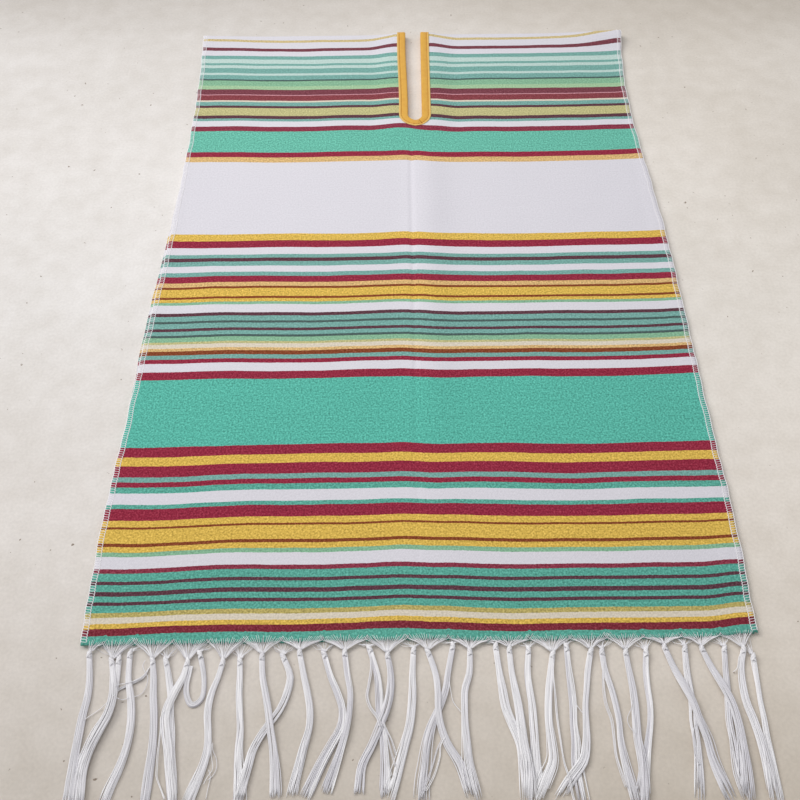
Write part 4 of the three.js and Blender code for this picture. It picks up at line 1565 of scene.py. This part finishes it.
@dataclass
class HemFringe:
    """Both hems' warp ends: fans of loose warp, overhand knots and hanging bundles."""

    locks: int = 3
    lock_yarns: int = 7
    yarn_radius: float = 0.42
    yarn_spacing: float = 0.62
    fan_radius: float = 0.2
    # The spacing of a front fan's yarns, and how many times wider the half hidden back's stand.
    warp_pitch: float = 1.65
    back_spacing: float = 1.5
    samples: int = 22
    knot_height: float = 3.0
    knot_yarn: float = 0.55
    highest: float = 6.5
    stray_chance: float = 0.14
    seed: int = 5

    def fan_bounds(self, panel: Panel) -> list[tuple[Tassel, float, float]]:
        """Returns each tassel of a panel with the stretch of hem that its warp comes from."""
        own = [tassel for tassel in TASSELS if tassel.panel is panel]
        knots = [tassel.knot[0] for tassel in own]
        gaps = [(a + b) / 2 for a, b in zip(knots, knots[1:])]
        edge = FORM.half_width - 5
        left, right = [-edge, *gaps], [*gaps, edge + 3]
        return list(zip(own, left, right))

    def notches(self) -> list[float]:
        """Returns where one fan of the front hem ends and the next begins."""
        return [left for _, left, _ in self.fan_bounds(Panel.FRONT)][1:]

    def build(self) -> list[bpy.types.Object]:
        """Returns the back and the front fringe."""
        finish = TwistedThread("white_cotton_warp_yarn", "#FDFCFE", "#D8D6DD", 1.3).build()
        pieces = []
        laid: list[np.ndarray] = []
        crossing = MeshParts()
        self.loose(crossing, laid, under=True)
        for panel in (Panel.BACK, Panel.FRONT):
            rng = np.random.default_rng(self.seed + len(pieces))
            parts = MeshParts() if panel is Panel.BACK else crossing
            for tassel, left, right in self.fan_bounds(panel):
                self.fan(parts, tassel, left, right, rng)
                self.knot(parts, tassel, rng)
                if tassel is TASSELS[LOOPED]:
                    self.loop(parts)
                else:
                    self.bundle(parts, tassel, laid, rng)
            if panel is Panel.FRONT:
                self.loose(parts, laid, under=False)
            name = f"{panel.value}_hem_fringe"
            piece = parts.build(name, finish)
            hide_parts(f"{panel.value}_fringe")
            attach(piece, BODY)
            pieces.append(piece)
        return pieces

    def fan(self, parts: MeshParts, tassel: Tassel, left: float, right: float, rng: Any) -> None:
        """Draws the warp of one fan together from the hem into its knot.

        Args:
            parts: Where the mesh goes.
            tassel: The tassel that it ends in.
            left: Where the fan begins on the hem.
            right: Where it ends.
            rng: The random source.
        """
        end_x, end_drop = tassel.knot
        pitch = self.warp_pitch * (1.0 if tassel.panel is Panel.FRONT else self.back_spacing)
        for x in np.arange(left + pitch / 2, right, pitch):
            share = (x - end_x) / max(1.0, (right - left) / 2)
            end = np.array([end_x + 1.8 * share, FORM.hem_y(end_x) - end_drop + 2.6, self.knot_height])
            x = x + rng.uniform(-0.4, 0.4)
            if tassel.panel is Panel.FRONT:
                path = self.front_ray(x, end, rng)
            else:
                path = self.back_ray(x, end, end_drop, rng)
            swell = lerp(0.9, 1.8, ease(np.linspace(-0.2, 1.1, len(path))))
            parts.strand(path, self.fan_radius * swell, sides=4)

    def front_ray(self, x: float, end: np.ndarray, rng: Any) -> np.ndarray:
        """Draws one warp yarn out of the front's skin, over the hem and down to its knot.

        Args:
            x: Where it leaves the cloth.
            end: Where it enters the knot.
            rng: The random source.

        Returns:
            Its path.
        """
        skin = FORM.front_rest + FORM.half + float(FORM.edge_lift(np.array(x)))
        hem = FORM.hem_y(x) - float(FORM.sag(np.array(x), np.array(FORM.panel)))
        up = rng.uniform(2.5, 6.5)
        over = np.array([x, hem + 0.2, skin + self.fan_radius])
        slope = np.clip((x - end[0]) / (hem - end[1]), -0.9, 0.9)
        start = np.array([x + slope * up * 0.8, hem + up, skin - 0.1])
        rise = lerp(start, over, 0.5) + np.array([0.0, 0.0, 0.25])
        outer = abs(slope)
        bend = lerp(over, end, 0.5) + np.array([-0.5 * slope, 1.5 * outer - 0.5, 0.2])
        bend = bend + rng.uniform(-1, 1, 3) * (0.6, 0.5, 0.25)
        return curve_through([start, rise, over, bend, end], 11)

    def back_ray(self, x: float, end: np.ndarray, drop: float, rng: Any) -> np.ndarray:
        """Draws one warp yarn from the hidden back hem, flat along it and then down to its knot.

        Args:
            x: Where it leaves the cloth.
            end: Where it enters the knot.
            drop: How far below the hem the knot sits.
            rng: The random source.

        Returns:
            Its path.
        """
        start = np.array([x, FORM.hem_y(x) + 1.5, FORM.half])
        low = rng.uniform(0.1, 0.5) * drop + 0.8
        bend = np.array([lerp(x, end[0], 0.5), FORM.hem_y(x) - low, rng.uniform(0.6, 2.2)])
        near = lerp(bend, end, 0.6) + np.array([0.12 * (end[0] - x) * 0.6, 0.4, 0.0])
        return curve_through([start, bend, near, end], 9)

    def knot(self, parts: MeshParts, tassel: Tassel, rng: Any) -> None:
        """Ties an overhand knot: three tilted turns of the bundle, each of three yarns."""
        ahead = tassel.centre(np.array([0.0, 0.04]))
        along = unit(np.append(ahead[1] - ahead[0], 0.0))
        side = unit(np.cross(along, UP))
        middle = np.append(ahead[0], self.knot_height)
        turn = np.linspace(0, 2 * np.pi, 15)[:-1]
        lean = rng.choice([-1, 1])
        for rise, wide, tilt in ((-1.6, 1.7, 0.9), (0.1, 2.0, 1.3), (1.6, 1.6, -0.9)):
            for lane in (-0.8, 0.0, 0.8):
                across = np.cos(turn)[:, None] * side * wide
                tall = np.sin(turn)[:, None] * UP * (wide * 0.72)
                slant = along * (np.cos(turn) * tilt * lean * 1.5)[:, None]
                path = middle + along * (rise + lane * 1.15) + across + tall + slant
                parts.strand(path, self.knot_yarn, lean=along, sides=5, closed=True)

    def lifted(self, centre: np.ndarray, laid: list[np.ndarray], knot_end: int) -> np.ndarray:
        """Returns how far a bundle rides up over those that already lie in its way."""
        lift = np.zeros(len(centre))
        for other in laid:
            apart = np.linalg.norm(centre[:, None, :2] - other[None, :, :2], axis=-1)
            nearest = apart.argmin(1)
            near = 1 - ease((apart.min(1) - 3.0) / 7.0)
            lift = np.maximum(lift, near * (other[nearest, 2] + 1.9))
        lift[:knot_end] *= 0.4
        lift = np.minimum(lift, self.highest)
        return np.convolve(np.pad(lift, 2, "edge"), [0.1, 0.2, 0.4, 0.2, 0.1], "valid")

    def bundle(self, parts: MeshParts, tassel: Tassel, laid: list[np.ndarray], rng: Any) -> None:
        """Hangs the free yarns of one tassel from its knot, in locks that part toward the tip.

        Args:
            parts: Where the mesh goes.
            tassel: The tassel.
            laid: The bundles that lie there already; this one is added to them.
            rng: The random source.
        """
        t = np.linspace(0, 1, self.samples)
        centre = tassel.centre(t)
        lift = self.lifted(centre, laid, 2)
        laid.append(np.column_stack([centre, lift]))
        apart = rng.uniform(1.5, 2.2)
        order = rng.permutation(self.locks) - (self.locks - 1) / 2
        for lock in range(self.locks):
            part = rng.uniform(-0.4, 1.1) * ease((t - 0.3) / 0.7)
            drift = rng.uniform(-0.9, 0.9) * np.sin(np.pi * rng.uniform(0.8, 1.6) * t) * ease(t / 0.3)
            place = (lock - (self.locks - 1) / 2) * (lerp(1.2, apart, ease(t / 0.35)) + part) + drift
            high = 0.25 * order[lock] + 0.25
            self.yarn_lock(parts, tassel, t, place, lift, high, rng)

    def yarn_lock(
        self,
        parts: MeshParts,
        tassel: Tassel,
        t: np.ndarray,
        place: np.ndarray,
        lift: np.ndarray,
        high: float,
        rng: Any,
    ) -> None:
        """Lays the yarns of one lock: four on the floor and three in the hollows above them.

        Args:
            parts: Where the mesh goes.
            tassel: The tassel that the lock belongs to.
            t: Shares of the way from the knot to the tip.
            place: The lock's distance from the bundle's middle at each.
            lift: How high what lies underneath holds the bundle at each.
            high: How much higher this lock lies than the others.
            rng: The random source.
        """
        under = (self.lock_yarns + 1) // 2
        loose = rng.uniform(0.3, 2.2)
        drawn = rng.uniform(0.96, 1.0)
        for k in range(self.lock_yarns):
            level = 0 if k < under else 1
            seat = k - (under - 1) / 2 if level == 0 else k - under - (self.lock_yarns - under - 1) / 2
            own = t * drawn * rng.uniform(0.93, 1.0)
            path = tassel.centre(own)
            along = unit(np.gradient(tassel.centre(t), axis=0))
            across = np.column_stack([-along[:, 1], along[:, 0]])
            spread = 1 + loose * ease((t - 0.66) / 0.34)
            amount, pace, phase = rng.uniform(0.1, 0.55), rng.uniform(4, 11), rng.uniform(0, 6.3)
            slack = amount * np.sin(t * pace + phase) * ease(t / 0.2)
            reach, onset = rng.uniform(-3.5, 3.5), rng.uniform(0.2, 0.7)
            astray = reach * ease((t - onset) / 0.5) * (rng.uniform() < self.stray_chance)
            aside = place + seat * self.yarn_spacing * spread + slack + astray
            height = self.yarn_radius + 0.1 + level * lerp(0.62, 0.35, ease((t - 0.7) / 0.3)) + high
            height = height + np.interp(own, t, lift) + 0.9 * np.sin(np.pi * np.clip(own * 1.15, 0, 1))
            settle = 1 - ease(t / 0.14)
            height = lerp(height, self.knot_height - 0.6 + 0.8 * level, settle)
            thin = self.yarn_radius * np.where(t > 0.97, 0.5, 1.0) * rng.uniform(0.85, 1.15)
            parts.strand(np.column_stack([path + across * aside[:, None], height]), thin, sides=5)

    def loop(self, parts: MeshParts) -> None:
        """Lays the one bundle that was caught in its neighbour's knot and hangs as a loop."""
        plan = curve_through(LOOP, 40)
        along = unit(np.gradient(plan, axis=0))
        side = np.column_stack([-along[:, 1], along[:, 0]])
        steps = np.arange(len(plan))
        ends = np.minimum(steps, steps[::-1]) / 5
        for k in range(10):
            seat = (k % 5) - 2
            offset = seat * 0.85 + 0.4 * (k // 5) + 0.2 * np.sin(steps / 5 + k)
            flat = plan + side * offset[:, None]
            y = FORM.hem_y(flat[:, 0]) - flat[:, 1]
            low = self.yarn_radius + 0.15 + 0.85 * (k // 5)
            z = lerp(self.knot_height - 0.6, low, ease(ends))
            parts.strand(np.column_stack([flat[:, 0], y, z]), self.yarn_radius, sides=5)

    def loose(self, parts: MeshParts, laid: list[np.ndarray], under: bool) -> None:
        """Lays the locks and single threads that have worked loose.

        Args:
            parts: Where the mesh goes.
            laid: The bundles that lie there already; a lock that goes under the others joins them.
            under: Whether to lay those that lie below the bundles, or those above.
        """
        for lock in (lock for lock in LOCKS if lock.under is under):
            plan = curve_through(lock.points, 6 * len(lock.points))
            along = unit(np.gradient(plan, axis=0))
            side = np.column_stack([-along[:, 1], along[:, 0]])
            centre = np.column_stack([plan[:, 0], FORM.hem_y(plan[:, 0]) - plan[:, 1]])
            lift = self.lifted(centre, laid, 0)
            if under:
                laid.append(np.column_stack([centre, lift]))
            taper = ease(np.linspace(0, 3, len(plan)))
            in_two_layers = lock.yarns > 3
            wide = lock.yarns // 2 if in_two_layers else lock.yarns
            for k in range(lock.yarns):
                seat = (k // 2 if in_two_layers else k) - (wide - 1) / 2
                level = k % 2 if in_two_layers else 0
                sway = 0.15 * np.sin(np.arange(len(plan)) / 5 + 2 * k)
                flat = plan + side * (seat * 0.9 * taper + sway)[:, None]
                y = FORM.hem_y(flat[:, 0]) - flat[:, 1]
                z = self.yarn_radius + 0.2 + 0.8 * level + lift
                parts.strand(np.column_stack([flat[:, 0], y, z]), self.yarn_radius * 0.8, sides=5)


# ---------------------------------------------------------------- stage
@dataclass
class Stage:
    """The floor, the light and the camera."""

    floor_size: float = 8.0
    floor_drop: float = 0.0004
    camera_offset: float = -18.0
    camera_place: tuple[float, float] = (-0.6294, 0.7748)
    camera_tilt: float = 33.46
    lens: float = 39.5
    sky: str = "#FDFDFF"
    sky_strength: float = 0.41
    lamp_colour: tuple[float, float, float] = (1.0, 0.985, 0.965)
    lamp_aim: tuple[float, float, float] = (0.0, -0.05, 0.0)

    def floor(self) -> bpy.types.Object:
        """Returns the floor, a hair below the cloth's underside."""
        half = self.floor_size / 2
        mesh = bpy.data.meshes.new("studio_floor")
        corners = [(-half, -half, 0), (half, -half, 0), (half, half, 0), (-half, half, 0)]
        mesh.from_pydata(corners, [], [(0, 1, 2, 3)])
        mesh.materials.append(TrowelledPlaster().build())
        floor = bpy.data.objects.new("studio_floor", mesh)
        floor.location.z = -self.floor_drop
        bpy.context.scene.collection.objects.link(floor)
        return floor

    def light(self) -> None:
        """Sets a soft sky, a window far off to the left and a weak lamp above the shoulders."""
        world = bpy.data.worlds.new("studio_sky")
        world.use_nodes = True
        back = world.node_tree.nodes["Background"]
        back.inputs["Color"].default_value = linear(self.sky)
        back.inputs["Strength"].default_value = self.sky_strength
        bpy.context.scene.world = world
        self.lamp("window_light", place=(-3.6, 1.6, 3.4), size=2.6, energy=118.0)
        self.lamp("shoulder_light", place=(-0.2, 0.3, 1.15), size=0.8, energy=5.5)

    def lamp(
        self, name: str, place: tuple[float, float, float], size: float, energy: float
    ) -> None:
        """Hangs one square lamp, aimed at the middle of the garment.

        Args:
            name: The lamp's name.
            place: Where it hangs, in metres.
            size: The length of its side, in metres.
            energy: Its power, in watts.
        """
        lamp = bpy.data.lights.new(name, "AREA")
        lamp.shape, lamp.size, lamp.energy = "SQUARE", size, energy
        lamp.color = self.lamp_colour
        holder = bpy.data.objects.new(name, lamp)
        holder.location = place
        aim = Vector(self.lamp_aim) - holder.location
        holder.rotation_euler = aim.to_track_quat("-Z", "Y").to_euler()
        bpy.context.scene.collection.objects.link(holder)

    def camera(self) -> None:
        """Sets the camera above the floor just past the fringe, a little left of the slit."""
        data = bpy.data.cameras.new("studio_camera")
        data.lens, data.sensor_width = self.lens, 36.0
        camera = bpy.data.objects.new("studio_camera", data)
        camera.location = ((self.camera_offset + FORM.shift()[0]) * MM, *self.camera_place)
        camera.rotation_euler = (math.radians(self.camera_tilt), 0.0, 0.0)
        bpy.context.scene.collection.objects.link(camera)
        bpy.context.scene.camera = camera

    def build(self) -> bpy.types.Object:
        """Sets the whole stage and returns its floor."""
        self.light()
        self.camera()
        bpy.context.scene.view_settings.view_transform = "Standard"
        return self.floor()


def main() -> None:
    """Builds the poncho on its stage, piece by piece."""
    logging.basicConfig(level=logging.INFO, format="%(message)s")
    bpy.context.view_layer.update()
    stage_floor = Stage().build()
    fringe_maker = HemFringe()
    cloth_maker = PonchoCloth()
    cloth = cloth_maker.build(fringe_maker.notches())
    binding = NeckBinding().build()
    overlock = Overlock().build(cloth_maker)
    fringes = fringe_maker.build()
    LOG.info("poncho done, %d pieces", 1 + len(binding) + len(overlock) + len(fringes))


if __name__ == "__main__":
    main()
